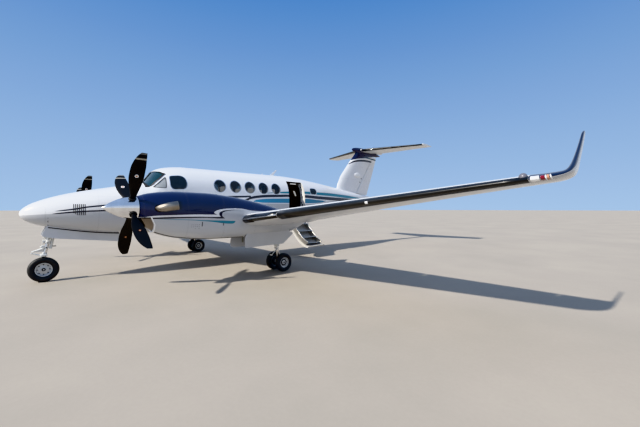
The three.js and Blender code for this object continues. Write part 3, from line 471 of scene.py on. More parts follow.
def addStripe(tree, along, height, centre, thick, soft=0.004):
    # 1 inside a stripe that swells and tapers along its centre line
    away = addMath(tree, "ABSOLUTE", addMath(tree, "SUBTRACT", height, addCurve(tree, along, centre)))
    reach = addMath(tree, "MULTIPLY", addCurve(tree, along, thick), 0.5)
    return addRange(tree, addMath(tree, "SUBTRACT", reach, away), -soft / 2, soft / 2)


# Body stripes. Points are (station, height) in metres, and thickness is (station, width).
bodyStripes = {
    "silverTop": [(0, 1.49), (0.646, 1.529), (0.871, 1.558), (1.106, 1.577), (1.35, 1.590), (2.5, 1.655),
                  (3.5, 1.72), (4.5, 1.775), (5.4, 1.80), (7.55, 1.808), (8.18, 1.825), (8.78, 1.915),
                  (9.4, 1.955), (10.5, 1.98), (12.5, 2.05)],
    "lower": ([(0.5, 1.517), (0.871, 1.556), (1.106, 1.575), (1.35, 1.586), (2.5, 1.655), (3.5, 1.72),
               (5.4, 1.80)], [(0.5, 0), (0.8, 0.034), (2.5, 0.036), (4.6, 0.036), (5.4, 0)]),
    "upper": ([(0.55, 1.576), (0.872, 1.619), (1.107, 1.668), (1.351, 1.699), (2.2, 1.79), (3.3, 1.90),
               (4.48, 1.985), (4.87, 2.0), (5.26, 2.021)],
              [(0.55, 0), (0.85, 0.034), (2.2, 0.038), (4.6, 0.056), (5.2, 0.05), (5.26, 0)]),
    "sweep": ([(4.95, 1.85), (5.116, 1.913), (5.272, 1.975), (5.55, 2.021), (5.93, 2.052), (6.4, 2.070), (6.78, 2.083),
               (7.6, 2.082), (8.225, 2.057), (8.98, 2.037), (9.8, 2.02), (10.4, 2.01),
               (11.3, 2.0)],
              [(4.95, 0.06), (5.27, 0.078), (5.9, 0.084), (6.78, 0.082), (7.6, 0.1), (8.98, 0.125), (10.0, 0.135),
               (10.8, 0.1), (11.3, 0.02)]),
    "pin": ([(5.8, 2.138), (6.36, 2.182), (6.79, 2.197), (7.62, 2.221), (8.416, 2.207), (9.0, 2.199), (9.8, 2.17), (10.7, 2.135),
             (11.5, 2.11)],
            [(5.8, 0.012), (6.36, 0.034), (6.6, 0.062), (7.62, 0.084), (9.0, 0.118), (10.0, 0.122), (10.8, 0.085),
             (11.5, 0.02)]),
    "bandTop": [(5.34, 1.863), (5.4, 1.895), (5.48, 1.92), (5.81, 1.954), (6.28, 1.974), (6.77, 1.985), (7.59, 1.993),
                (8.22, 1.967), (8.75, 1.94)],
    "bandBottom": [(5.34, 1.862), (5.48, 1.847), (5.81, 1.828), (6.77, 1.833), (7.59, 1.835), (8.22, 1.852),
                   (8.75, 1.938)],
}

bodyLivery, given, result = newGroup("bodyLivery", {"Place": ("vector", (0, 0, 0))}, {"Colour": "colour"})
across, along, height = splitPlace(bodyLivery, given["Place"])
silver = addBand(bodyLivery, height, -1.0, addCurve(bodyLivery, along, bodyStripes["silverTop"]), 0.006)
paint = addMix(bodyLivery, silver, colours["white"], colours["silver"])
band = addBand(bodyLivery, height, addCurve(bodyLivery, along, bodyStripes["bandBottom"]),
               addCurve(bodyLivery, along, bodyStripes["bandTop"]))
span = addBand(bodyLivery, along, 5.34, 8.75, 0.01)
deepen = addRange(bodyLivery, along, 5.4, 8.4)
bandColour = addMix(bodyLivery, deepen, colours["bandFront"], colours["bandBack"])
paint = addMix(bodyLivery, addMath(bodyLivery, "MULTIPLY", band, span), paint, bandColour)
for stripe, colour in (("lower", "navy"), ("upper", "navy"), ("sweep", "navy"), ("pin", "teal")):
    centre, thick = bodyStripes[stripe]
    reach = addBand(bodyLivery, along, centre[0][0], centre[-1][0], 0.01)
    mask = addMath(bodyLivery, "MULTIPLY", addStripe(bodyLivery, along, height, centre, thick), reach)
    paint = addMix(bodyLivery, mask, paint, colours[colour])
feed(bodyLivery, result["Colour"], paint)

bodyPaint, tree, shader, place = startMaterial("bodyPaint", coat=0.5)
finishPaint(tree, shader, place, placeGroup(tree, bodyLivery, Place=place)["Colour"], 0.16, 0.05,
            [(1, 2, 0.92, 6.68 - 0.41), (2, 1, 1.1, 0.28)])
doorPaint, tree, shader, place = startMaterial("doorPaint", coat=0.5)
closed = tree.nodes.new("ShaderNodeAttribute")
closed.attribute_name = "closedPlace"
finishPaint(tree, shader, place, placeGroup(tree, bodyLivery, Place=closed.outputs["Vector"])["Colour"], 0.16, 0.05)

# Nacelle stripes, in the same terms. The hook's edges are (height, station).
nacelleStripes = {
    "blueBottom": [(1.6, 1.47), (1.65, 1.473), (1.87, 1.499), (2.19, 1.508), (2.58, 1.514), (2.94, 1.507), (6.0, 1.507)],
    "whiteBottom": [(1.6, 1.455), (1.87, 1.467), (2.19, 1.471), (2.58, 1.469), (2.79, 1.463), (3.02, 1.457), (6.0, 1.455)],
    "navyBottom": [(1.6, 1.44), (1.87, 1.436), (2.3, 1.442), (2.58, 1.443), (2.9, 1.434), (3.22, 1.418), (6.0, 1.418)],
    "blueHook": [(1.5, 3.07), (1.515, 3.02), (1.535, 2.975), (1.547, 2.963), (1.565, 2.975), (1.59, 3.017), (1.607, 3.07),
                 (1.621, 3.136), (1.63, 3.22), (1.636, 3.306), (1.645, 3.75), (1.65, 6.2)],
    "navyOuter": [(1.45, 3.125), (1.475, 3.10), (1.50, 3.085), (1.522, 3.08), (1.545, 3.09), (1.566, 3.11), (1.585, 3.16),
                  (1.595, 3.206), (1.605, 3.303), (1.611, 3.38), (1.62, 3.9)],
    "navyInner": [(1.415, 3.22), (1.45, 3.178), (1.484, 3.148), (1.512, 3.146), (1.53, 3.155), (1.551, 3.174),
                  (1.578, 3.253), (1.591, 3.327), (1.60, 3.42), (1.612, 3.75)],
    "blueAft": [(3.4, 1.637), (3.586, 1.634), (3.718, 1.62), (3.838, 1.598), (3.95, 1.582), (4.1, 1.575), (6.0, 1.5)],
    "tealTop": [(1.85, 1.432), (2.1, 1.427), (2.577, 1.405), (2.683, 1.395), (2.902, 1.386), (3.133, 1.377), (3.476, 1.358)],
    "tealBottom": [(1.85, 1.431), (2.1, 1.418), (2.577, 1.391), (2.684, 1.379), (2.904, 1.356), (3.134, 1.322),
                   (3.254, 1.306), (3.38, 1.299), (3.476, 1.357)],
}
nacellePaint, tree, shader, place = startMaterial("nacellePaint", coat=0.6)
across, along, height = splitPlace(tree, place)
blueEdge, whiteEdge, navyEdge, tealTop, tealBottom = [
    addCurve(tree, along, nacelleStripes[name])
    for name in ("blueBottom", "whiteBottom", "navyBottom", "tealTop", "tealBottom")]
blueHook, navyOuter, navyInner = [addCurve(tree, height, nacelleStripes[name])
                                  for name in ("blueHook", "navyOuter", "navyInner")]
insideHook = addBand(tree, along, navyOuter, 9.0)
notInside = addMath(tree, "MAXIMUM", addMath(tree, "SUBTRACT", 1.0, insideHook), addBand(tree, height, 1.612, 9.0))
paint = addMix(tree, addMath(tree, "MULTIPLY", addBand(tree, height, whiteEdge, 9.0), notInside),
               colours["silver"], colours["white"])
navyReach = addMath(tree, "MAXIMUM", insideHook, addBand(tree, height, 0.0, whiteEdge))
navyMask = addMath(tree, "MULTIPLY", addBand(tree, along, 1.0, navyInner), addBand(tree, height, navyEdge, 1.613))
paint = addMix(tree, addMath(tree, "MULTIPLY", navyMask, navyReach), paint, colours["navy"])
tealMask = addMath(tree, "MULTIPLY", addBand(tree, height, tealBottom, tealTop), addBand(tree, along, 1.86, 3.47, 0.01))
paint = addMix(tree, tealMask, paint, colours["teal"])
blueMask = addMath(tree, "MULTIPLY", addBand(tree, height, blueEdge, 9.0), addBand(tree, along, 1.0, blueHook))
blueAft = addMath(tree, "MULTIPLY", addBand(tree, height, addCurve(tree, along, nacelleStripes["blueAft"]), 9.0),
                  addBand(tree, along, 3.5, 9.0))
paint = addMix(tree, addMath(tree, "MAXIMUM", blueMask, blueAft), paint, colours["royalBlue"])
# a near-black patch on the cowl just behind the exhaust's mouth
darkPatchBehindExhaust = addMath(tree, "MULTIPLY", addBand(tree, along, 2.16, 2.30, 0.06), addBand(tree, height, 1.62, 1.78, 0.03))
paint = addMix(tree, addMath(tree, "MULTIPLY", darkPatchBehindExhaust, 0.9), paint, (0.004, 0.004, 0.006, 1))
finishPaint(tree, shader, place, paint, 0.12, 0.04, [(1, 2, 0.78, 6.68 - 1.65)])

# Fin stripes
finStripes = {
    "capBottom": [(9.8, 3.5), (11.04, 3.87), (11.5, 3.98), (12.0, 4.08), (12.6, 4.17), (13.3, 4.32)],
    "line": ([(11.2, 3.93), (11.5, 4.0), (11.8, 4.045), (12.15, 4.085), (12.89, 4.07)],
             [(11.2, 0), (11.5, 0.035), (12.15, 0.065), (12.9, 0.07)]),
    "arc": ([(10.9, 3.68), (11.0, 3.74), (11.38, 3.86), (12.0, 3.93), (12.6, 3.94)],
            [(10.9, 0.04), (11.3, 0.075), (12.0, 0.095), (12.5, 0.085), (12.6, 0.0)]),
}
finPaint, tree, shader, place = startMaterial("finPaint", coat=0.5)
across, along, height = splitPlace(tree, place)
arcCentre = addCurve(tree, along, finStripes["arc"][0])
paint = addMix(tree, addBand(tree, height, arcCentre, 9.0, 0.006), (0.70, 0.72, 0.76, 1), colours["white"])
for stripe, colour, end in (("arc", "navy", 12.6), ("line", "deepTeal", 13.1)):
    centre, thick = finStripes[stripe]
    mask = addMath(tree, "MULTIPLY", addStripe(tree, along, height, centre, thick), addBand(tree, along, 9.0, end, 0.01))
    paint = addMix(tree, mask, paint, colours[colour])
paint = addMix(tree, addBand(tree, height, addCurve(tree, along, finStripes["capBottom"]), 9.0), paint, colours["capBlue"])
finishPaint(tree, shader, place, paint, 0.2, 0.06, [(2, 1, 0.62, 0.12)])

wingSeams = [(0, 1, 0.86, 0.31), (1, 0, 1.3, 0.4)]
wingPaint = plainPaint("wingPaint", (0.62, 0.63, 0.655), 0.28, 0.35, 0.08, seams=wingSeams)
controlPaint = plainPaint("controlPaint", (0.66, 0.67, 0.69), 0.3, 0.3, 0.08, seams=[(0, 1, 0.43, 0.05)])
wingWhite = plainPaint("wingWhite", colours["white"][:3], 0.24, 0.5, 0.05, seams=wingSeams)
tailPaint = plainPaint("tailPaint", (0.76, 0.76, 0.75), 0.28, 0.3, 0.08, seams=[(0, 1, 0.55, 0.1)])
silverPaint = plainPaint("silverPaint", colours["silver"][:3], 0.26, 0.4, 0.12)
doorSilver = plainPaint("doorSilver", (0.58, 0.60, 0.64), 0.26, 0.4, 0.1)
navyPaint = plainPaint("navyPaint", colours["capBlue"][:3], 0.2, 0.35, 0.02)

# the winglet is navy in front and inboard; its faces that look outboard and down are pale grey, a painted reflection of
# the floor
wingletPaint, tree, shader, place = startMaterial("wingletPaint", coat=0.4)
spot, facing = tree.nodes.new("ShaderNodeSeparateXYZ"), tree.nodes.new("ShaderNodeSeparateXYZ")
feed(tree, spot.inputs[0], place)
feed(tree, facing.inputs[0], tree.nodes.new("ShaderNodeTexCoord").outputs["Normal"])
outwards = addMath(tree, "MULTIPLY", facing.outputs[0], addMath(tree, "SIGN", spot.outputs[0]))
# the mask of faces that look outboard and down, where the floor's reflection is painted
below = addRange(tree, addMath(tree, "SUBTRACT", outwards, facing.outputs[2]), 0.82, 0.92)
finishPaint(tree, shader, place, addMix(tree, below, (0.001, 0.005, 0.03, 1), (0.42, 0.43, 0.45, 1)), 0.16, 0.04)
gearPaint = plainPaint("gearPaint", (0.72, 0.73, 0.72), 0.34, 0.2, 0.22)
wheelPaint = plainPaint("wheelPaint", (0.52, 0.54, 0.56), 0.34, 0.2, 0.2, metallic=0.35)
bayPaint = plainPaint("bayPaint", (0.30, 0.31, 0.27), 0.5, 0.0, 0.3)
darkMetal = plainPaint("darkMetal", (0.03, 0.03, 0.032), 0.45, 0.0, 0.1, metallic=0.6)
panelBlack = plainPaint("panelBlack", (0.02, 0.02, 0.022), 0.5, 0.0, 0.1)
liningTrim = plainPaint("liningTrim", (0.50, 0.48, 0.45), 0.55, 0.0, 0.1)
carpet = plainPaint("carpet", (0.10, 0.085, 0.07), 0.9, 0.0, 0.3)
sealRubber = plainPaint("sealRubber", (0.008, 0.008, 0.009), 0.6, 0.0, 0.1)
bootRubber = plainPaint("bootRubber", (0.004, 0.0042, 0.005), 0.28, 0.22, 0.06)
edgeBlack = plainPaint("edgeBlack", (0.003, 0.0032, 0.004), 0.25, 0.25, 0.02)
lampWhite = plainPaint("lampWhite", (0.85, 0.86, 0.88), 0.1, 0.8, 0.0)
lampRed = plainPaint("lampRed", (0.17, 0.004, 0.012), 0.1, 0.8, 0.0)
lampAmber = plainPaint("lampAmber", (0.50, 0.26, 0.16), 0.4, 0.1, 0.1)

# seat covers, with a little glow for the daylight that the dark glass would keep out
seatCloth, tree, shader, place = startMaterial("seatCloth")
finishPaint(tree, shader, place, (0.88, 0.87, 0.84, 1), 0.8, 0.05)
shader.inputs["Emission Color"].default_value = (0.88, 0.87, 0.84, 1)
shader.inputs["Emission Strength"].default_value = 0.4


def metalPaint(name, colour, gloss, grain=120.0, strength=0.12):
    material, tree, shader, place = startMaterial(name, 1.0)
    fine = addNoise(tree, place, grain, 2.0)
    blotch = addNoise(tree, place, 4.0, 5.0)
    shade = addMix(tree, addRange(tree, blotch, 0.35, 0.75), (*colour, 1), tuple(c * 0.72 for c in colour) + (1,))
    feed(tree, shader.inputs["Base Color"], shade)
    feed(tree, shader.inputs["Roughness"], addMath(tree, "MULTIPLY_ADD", blotch, 0.18, gloss))
    addBump(tree, shader, fine, strength, 0.0006)
    return material


chrome = metalPaint("chrome", (0.86, 0.87, 0.89), 0.0, 40.0, 0.02)
polishedEdge = metalPaint("polishedEdge", (0.80, 0.81, 0.83), 0.12, 60.0, 0.05)
exhaustSteel = metalPaint("exhaustSteel", (0.40, 0.36, 0.31), 0.30)
bareMetal = metalPaint("bareMetal", (0.62, 0.60, 0.56), 0.22)
ductMetal = metalPaint("ductMetal", (0.30, 0.26, 0.22), 0.4)
pistonChrome = metalPaint("pistonChrome", (0.8, 0.8, 0.82), 0.04, 60.0, 0.02)

tyreRubber, tree, shader, place = startMaterial("tyreRubber")
dust = addRange(tree, addNoise(tree, place, 9.0, 5.0), 0.45, 0.75)
feed(tree, shader.inputs["Base Color"], addMix(tree, addMath(tree, "MULTIPLY", dust, 0.5), (0.012, 0.012, 0.013, 1),
                                              (0.075, 0.07, 0.062, 1)))
feed(tree, shader.inputs["Roughness"], addMath(tree, "MULTIPLY_ADD", dust, 0.2, 0.6))
addBump(tree, shader, addNoise(tree, place, 160.0, 2.0), 0.3, 0.001)


def glassPaint(name, tint, alpha):
    material, tree, shader, place = startMaterial(name, coat=1.0, coatRoughness=0.01)
    haze = addNoise(tree, place, 3.0, 4.0)
    feed(tree, shader.inputs["Base Color"], addMix(tree, haze, (*tint, 1), tuple(c * 0.6 for c in tint) + (1,)))
    feed(tree, shader.inputs["Roughness"], addMath(tree, "MULTIPLY_ADD", haze, 0.05, 0.01))
    shader.inputs["Alpha"].default_value = alpha
    return material


cabinGlass = glassPaint("cabinGlass", (0.010, 0.016, 0.024), 0.42)
sideGlass = glassPaint("sideGlass", (0.010, 0.016, 0.024), 0.62)
windshieldGlass = glassPaint("windshieldGlass", (0.014, 0.055, 0.075), 0.72)
quarterGlass = glassPaint("quarterGlass", (0.50, 0.53, 0.55), 0.8)

# leather with a fine pebble and darker creases
seatLeather, tree, shader, place = startMaterial("seatLeather", coat=0.1)
pebble = tree.nodes.new("ShaderNodeTexVoronoi")
pebble.feature = "DISTANCE_TO_EDGE"
pebble.inputs["Scale"].default_value = 260.0
feed(tree, pebble.inputs["Vector"], place)
crease = addRange(tree, pebble.outputs["Distance"], 0.0, 0.12)
worn = addNoise(tree, place, 6.0, 4.0)
hide = addMix(tree, worn, (0.62, 0.53, 0.40, 1), (0.50, 0.41, 0.30, 1))
feed(tree, shader.inputs["Base Color"], addMix(tree, crease, (0.36, 0.29, 0.21, 1), hide))
feed(tree, shader.inputs["Roughness"], addMath(tree, "MULTIPLY_ADD", worn, 0.2, 0.38))
addBump(tree, shader, crease, 0.35, 0.0012)
print("paints and metals mixed")


# ---- bodies of oval section ----

# Columns: station, top, bottom, half width, height of the widest line, squareness above and below it
fuselageTable = [
    (0, 1530, 1500, 14, 1515, 2, 2), (50, 1628, 1405, 112, 1516, 2, 2), (160, 1722, 1328, 200, 1520, 2, 2.1),
    (400, 1842, 1238, 318, 1540, 2.05, 2.2), (770, 1970, 1163, 440, 1580, 2.15, 2.4),
    (1260, 2090, 1080, 565, 1640, 2.25, 2.6), (1790, 2200, 1028, 665, 1700, 2.35, 2.8),
    (2200, 2308, 1008, 722, 1760, 2.4, 2.9), (2400, 2368, 1003, 743, 1785, 2.4, 3),
    (2500, 2492, 1001, 751, 1805, 2.4, 3.02), (2610, 2632, 1000, 758, 1825, 2.4, 3.05),
    (2740, 2716, 1000, 765, 1850, 2.45, 3.1), (2900, 2764, 1000, 773, 1870, 2.45, 3.15),
    (3100, 2796, 1000, 778, 1890, 2.45, 3.2), (3400, 2818, 1000, 780, 1900, 2.45, 3.2),
    (6600, 2822, 1000, 780, 1900, 2.45, 3.2), (7500, 2790, 1010, 772, 1900, 2.4, 3.1),
    (8400, 2708, 1110, 712, 1930, 2.35, 2.8),
    (9400, 2596, 1330, 585, 1990, 2.25, 2.5), (10400, 2475, 1590, 425, 2050, 2.15, 2.3),
    (11400, 2355, 1850, 262, 2115, 2.1, 2.15), (12100, 2272, 2030, 140, 2160, 2, 2),
    (12420, 2235, 2120, 60, 2180, 2, 2),
]
nacelleTable = [
    (1592, 1877, 1345, 218, 1642, 2, 2), (1760, 1930, 1205, 272, 1612, 2.1, 2.1),
    (1980, 1965, 1110, 318, 1580, 2.2, 2.2), (2270, 1987, 1032, 345, 1560, 2.3, 2.3),
    (2860, 1980, 970, 357, 1530, 2.4, 2.6), (3450, 1925, 957, 360, 1500, 2.4, 3),
    (3920, 1850, 962, 360, 1460, 2.4, 3.4), (4400, 1752, 972, 358, 1420, 2.4, 3.4),
    (4830, 1645, 985, 352, 1380, 2.3, 3.4), (5300, 1530, 1045, 300, 1340, 2.2, 2.8),
    (5750, 1415, 1180, 130, 1300, 2, 2), (5950, 1330, 1270, 30, 1300, 2, 2),
]
bulletTable = [
    (11145, 4392, 4374, 10, 4383, 2, 2), (11190, 4434, 4332, 46, 4384, 2, 2), (11295, 4470, 4292, 80, 4386, 2, 2),
    (11430, 4494, 4262, 102, 4386, 2, 2), (11700, 4514, 4240, 116, 4384, 2, 2), (12050, 4520, 4228, 120, 4380, 2, 2),
    (12400, 4508, 4224, 118, 4372, 2, 2), (12900, 4430, 4222, 92, 4330, 2, 2), (13230, 4345, 4255, 45, 4302, 2, 2),
    (13360, 4312, 4288, 10, 4300, 2, 2),
]
fuselageRow = curveThrough(fuselageTable, lambda station: math.sqrt(station + 1))
nacelleRow = curveThrough(nacelleTable)
bulletRow = curveThrough(bulletTable, lambda station: math.sqrt(station - 11140))


def ovalRing(row, station, grow, centre, count):
    top, bottom, half, widest, above, below = row(station)
    points = []
    for i in range(240):
        angle = (i / 240 + 0.25) * fullTurn
        c, s = math.cos(angle), math.sin(angle)
        rise, power = (top + grow - widest, 2 / above) if s > 0 else (widest - bottom + grow, 2 / below)
        points.append(Vector(((centre + math.copysign(abs(c) ** power * (half + grow), c)) * mm, aft(station),
                              (widest + math.copysign(abs(s) ** power * rise, s)) * mm)))
    return evenly(points, count)


def ovalRings(row, places, grow=0, centre=0, count=96):
    return [ovalRing(row, place, grow, centre, count) for place in places]


def ovalTool(row, places, grow=0, centre=0, count=64):
    bm = bmesh.new()
    loft(bm, ovalRings(row, places, grow, centre, count))
    return tool(bm)


def ovalWall(row, places, outer, inner, centre=0, count=96):
    # a closed wall between two sizes of an oval body, open at its ends
    bm = bmesh.new()
    rings = ovalRings(row, places, outer, centre, count) + ovalRings(row, places[::-1], inner, centre, count)
    loft(bm, rings, capped=(False, False))
    open_ = [e for e in bm.edges if e.is_boundary]
    bmesh.ops.bridge_loops(bm, edges=open_)
    return bm


def sideHalf(row, station, z):
    # half width of an oval body at a height
    top, bottom, half, widest, above, below = row(station)
    share, square = ((z - widest) / (top - widest), above) if z > widest else ((widest - z) / (widest - bottom), below)
    return half * max(0.0, 1 - min(1.0, abs(share)) ** square) ** (1 / square)


nosePlaces = [400 * (i / 26) ** 2 for i in range(27)]
noseSectionPlaces = spread(400.3, 2200, 60)
cabinPlaces = spread(2200.3, 2400, 40) + spread(2400, 3400, 40)[1:] + spread(3400, 8400, 100)[1:]
tailPlaces = spread(8400.3, 12420, 110)

bm = bmesh.new()
loft(bm, ovalRings(fuselageRow, nosePlaces))
fit(makePiece("radome_skin", bm, bodyPaint), "airframe", "white_paint", "radome")

bm = bmesh.new()
loft(bm, ovalRings(fuselageRow, noseSectionPlaces))
noseSkin = makePiece("nose_skin", bm, bodyPaint, bayPaint)
cutter = bmesh.new()
addBlock(cutter, (-0.17, aft(450), 0.8), (0.17, aft(1850), 1.43))
carve(noseSkin, tool(cutter))
paintFaces(noseSkin, lambda c, n: abs(c.x) < 0.1705 and aft(449) < c.y < aft(1851) and c.z < 1.431
           and (abs(n.z) < 0.2 or n.z < -0.9 and c.z > 1.4), 1)
fit(noseSkin, "airframe", "white_paint", "nose_section")

# Cockpit and cabin windows
cabinWindow = {"first": 4236, "pitch": 504, "radius": 179, "height": 2296}
aftWindow = {"station": 8020, "long": 340, "tall": 225, "height": 2280}
windshieldOutline = [(25, 2378), (25, 2628), (272, 2612), (400, 2602), (540, 2542), (564, 2484), (581, 2421), (580, 2363),
                     (573, 2300), (572, 2247), (576, 2198), (522, 2232), (437, 2271), (340, 2304)]
sideOutline = [(2862, 2230), (2900, 2158), (2960, 2142), (3170, 2152), (3235, 2178), (3275, 2240), (3285, 2330),
               (3262, 2430), (3225, 2480), (3171, 2510), (3100, 2518), (2895, 2497), (2862, 2460)]
quarterOutline = [(2473, 2188), (2735, 2176), (2752, 2190), (2768, 2440), (2752, 2452)]
door = {"front": 6800, "back": 7530, "hinge": 1222, "top": 2600, "angle": 133, "gap": 6, "thickness": 45}
doorHingeX = sideHalf(fuselageRow, door["front"], door["hinge"])


def windowRounds(grow, x0=400, x1=1000):
    bm = bmesh.new()
    for side, count in ((1, 5), (-1, 6)):
        for i in range(count):
            y, z = aft(cabinWindow["first"] + i * cabinWindow["pitch"]), cabinWindow["height"] * mm
            addBar(bm, (side * x0 * mm, y, z), (side * x1 * mm, y, z), (cabinWindow["radius"] + grow) * mm, segments=48)
        long_, tall = aftWindow["long"] / 2 + grow, aftWindow["tall"] / 2 + grow
        middle = aftWindow["station"], aftWindow["height"]
        corners = [(middle[0] + a * long_, middle[1] + b * tall) for a, b in ((-1, -1), (1, -1), (1, 1), (-1, 1))]
        fromSide(rounded(corners, tall * 0.95, 8), side * x0, side * x1, bm)
    return tool(bm)


def sidePanes(outline, grow, radius):
    bm = bmesh.new()
    for x0, x1 in ((450, 1000), (-1000, -450)):
        fromSide(rounded(grown(outline, grow), radius), x0, x1, bm)
    return tool(bm)


def frontPanes(grow, radius=30):
    bm = bmesh.new()
    outline = rounded(grown(windshieldOutline, grow), radius)
    fromFront(outline, 2235, 3000, bm)
    fromFront([(-x, z) for x, z in outline], 2235, 3000, bm)
    return tool(bm)


def doorOutline(reach, sill):
    outline = [(doorHingeX + 120, sill), (doorHingeX - 420, sill)]
    for i in range(15):
        angle = math.radians(108 - i * 2)
        outline.append((doorHingeX + reach * math.cos(angle), door["hinge"] + reach * math.sin(angle)))
    return outline


cabin = makePiece("cabin_skin", ovalWall(fuselageRow, cabinPlaces, 0, -55), bodyPaint, liningTrim, sealRubber)
cutter = bmesh.new()
fromFront(doorOutline(door["top"] - door["hinge"] + door["gap"], door["hinge"] - door["gap"]),
          door["front"] - door["gap"], door["back"] + door["gap"], cutter)
carve(cabin, windowRounds(0), sidePanes(sideOutline, 0, 45), sidePanes(quarterOutline, 0, 25), frontPanes(0),
      tool(cutter))


def insideCabin(c, n):
    half = sideHalf(fuselageRow, (c.y - noseY) / mm, c.z / mm) * mm
    top, bottom = [value * mm for value in fuselageRow((c.y - noseY) / mm)[:2]]
    return half - abs(c.x) > 0.02 and c.z < top - 0.03 and c.z > bottom + 0.03 and (n.x * c.x < 0.002)


paintFaces(cabin, insideCabin, 1)
fit(cabin, "airframe", "white_paint", "cabin_shell")

panePlaces = spread(2300, 3500, 40)
paneBand = spread(4000, 8230, 90)
for name, places, paneTool, glass, slotName, nodes in (
        ("windshield_glass", panePlaces, frontPanes(-1), windshieldGlass, "tinted_glass",
         ("windshield_port", "windshield_starboard")),
        ("cockpit_side_glass", panePlaces, sidePanes(sideOutline, -1, 45), sideGlass, "tinted_glass",
         ("cockpit_window_port", "cockpit_window_starboard")),
        ("quarter_glass", panePlaces, sidePanes(quarterOutline, -1, 25), quarterGlass, "tinted_glass", ()),
        ("cabin_window_glass", paneBand, windowRounds(-1), cabinGlass, "tinted_glass", ())):
    panes = carve(makePiece(name, ovalWall(fuselageRow, places, -8, -16), glass), paneTool, operation="INTERSECT")
    fit(panes, "airframe", slotName, *nodes)

for name, places, outerTool, innerTool, material in (
        ("windshield_trim", panePlaces, frontPanes(20, 40), frontPanes(-1), sealRubber),
        ("cockpit_side_trim", panePlaces, sidePanes(sideOutline, 16, 55), sidePanes(sideOutline, -1, 45), polishedEdge),
        ("quarter_trim", panePlaces, sidePanes(quarterOutline, 12, 30), sidePanes(quarterOutline, -1, 25), sealRubber),
        ("cabin_window_trim", paneBand, windowRounds(17), windowRounds(-2), polishedEdge)):
    trim = makePiece(name, ovalWall(fuselageRow, places, 2, -9), material)
    carve(trim, outerTool, operation="INTERSECT")
    fit(carve(trim, innerTool), "airframe", "silver_paint")

# The windshield's outer edge as seen from the side, with a dark seal and a bright strip behind it


def stationAt(x, z):
    return next(s for s in spread(2300, 3000, 2) if fuselageRow(s)[0] > z + 10 and sideHalf(fuselageRow, s, z) > x)


paneEdge = [(stationAt(x, z), z) for x, z in windshieldOutline[4:11]]
for name, near, far, material in (("windshield_seal", -4, 36, sealRubber), ("windshield_strip", 36, 52, polishedEdge)):
    bm = bmesh.new()
    for x0, x1 in ((400, 1000), (-1000, -400)):
        fromSide([(s + near, z) for s, z in paneEdge] + [(s + far, z) for s, z in paneEdge[::-1]], x0, x1, bm)
    band = makePiece(name, ovalWall(fuselageRow, panePlaces, 3, -9), material)
    fit(carve(band, tool(bm), operation="INTERSECT"), "airframe", "silver_paint")
bm = bmesh.new()
addBlock(bm, (-0.032, aft(2420), 2.2), (0.032, aft(2585), 2.9))
post = makePiece("windshield_post", ovalWall(fuselageRow, panePlaces, 18, -9), sealRubber)
fit(carve(post, tool(bm), operation="INTERSECT"), "airframe", "panel_black")

louvres = {"first": 872, "last": 1085, "count": 7, "width": 15, "low": 1487, "high": 1738}
bm = bmesh.new()
for i, station in enumerate(spread(louvres["first"], louvres["last"] - louvres["width"], 33)):
    drop = 0 if i > 1 else 45 - 20 * i
    for x0, x1 in ((200, 700), (-700, -200)):
        fromSide([(station, louvres["low"] + drop), (station + louvres["width"], louvres["low"] + drop),
                  (station + louvres["width"], louvres["high"]), (station, louvres["high"])], x0, x1, bm)
slots = makePiece("nose_louvres", ovalWall(fuselageRow, spread(840, 1120, 20), 1.5, -4), sealRubber)
fit(carve(slots, tool(bm), operation="INTERSECT"), "airframe", "panel_black")
bm = bmesh.new()
for side in (1, -1):
    line = [(s, fuselageRow(s)[1]) for s in spread(458, 1815, 110)]
    fromSide([(s, z + 4) for s, z in line] + [(s, z - 18) for s, z in line[::-1]], side * 170, side * 175, bm)
fit(makePiece("nose_bay_seals", bm, sealRubber), "airframe", "panel_black")

# Blade aerials on the roof and a pitot mast beside the nose gear
bm = bmesh.new()
fromSide([(6480, 2800), (6650, 2800), (6835, 3035), (6780, 3040)], -7, 7, bm)
fromSide([(6130, 2800), (6240, 2800), (6215, 2868), (6190, 2868)], -6, 6, bm)
fromSide([(4560, 1010), (4720, 1010), (4700, 900), (4650, 900)], -6, 6, bm)
aerials = makePiece("roof_aerials", bm, plainPaint("aerialPaint", (0.72, 0.74, 0.77), 0.3, 0.2, 0.05))
bevelEdges(aerials, 0.003)
fit(aerials, "airframe", "white_paint")
bm = bmesh.new()
for side in (1, -1):
    addBar(bm, (side * 0.318, aft(452), 1.438), (side * 0.278, aft(453), 1.35), 0.008, segments=12)
    addBar(bm, (side * 0.278, aft(453), 1.35), (side * 0.172, aft(458), 1.258), 0.008, segments=12)
fit(makePiece("pitot_masts", bm, darkMetal), "airframe", "gear_metal")

# Door frame behind the opening's rear edge, with its latches
frameWidth = {"front": 7536, "back": 7552, "depth": 190}
line = [(sideHalf(fuselageRow, 7544, z) - 56, z) for z in spread(1262, 2560, 90)]
bm = bmesh.new()
fromFront(line + [(x - frameWidth["depth"], z) for x, z in line[::-1]], frameWidth["front"], frameWidth["back"], bm)
fit(makePiece("door_frame_aft", bm, plainPaint("frameWhite", (0.74, 0.74, 0.73), 0.4, 0.1, 0.1)), "airframe", "cabin_trim")
bm = bmesh.new()
for z in (1420, 1760, 2060, 2330):
    x = sideHalf(fuselageRow, 7544, z) - 56
    addBlock(bm, ((x - 95) * mm, aft(7524), (z - 45) * mm), ((x - 55) * mm, aft(7536), (z + 45) * mm), 0.003)
    addBlock(bm, ((x - 160) * mm, aft(7528), (z + 60) * mm), ((x - 120) * mm, aft(7536), (z + 120) * mm), 0.003)
fit(makePiece("door_latches", bm, darkMetal), "airframe", "gear_metal")
# Pale trim inside the door opening, in the seat cloth, whose glow is painted light standing in for daylight
bm = bmesh.new()
addBlock(bm, (0.48, aft(7060), 2.520), (0.50, aft(7330), 2.545), 0.004)
addBlock(bm, (0.20, aft(6560), 2.53), (0.22, aft(6590), 2.55), 0.004)
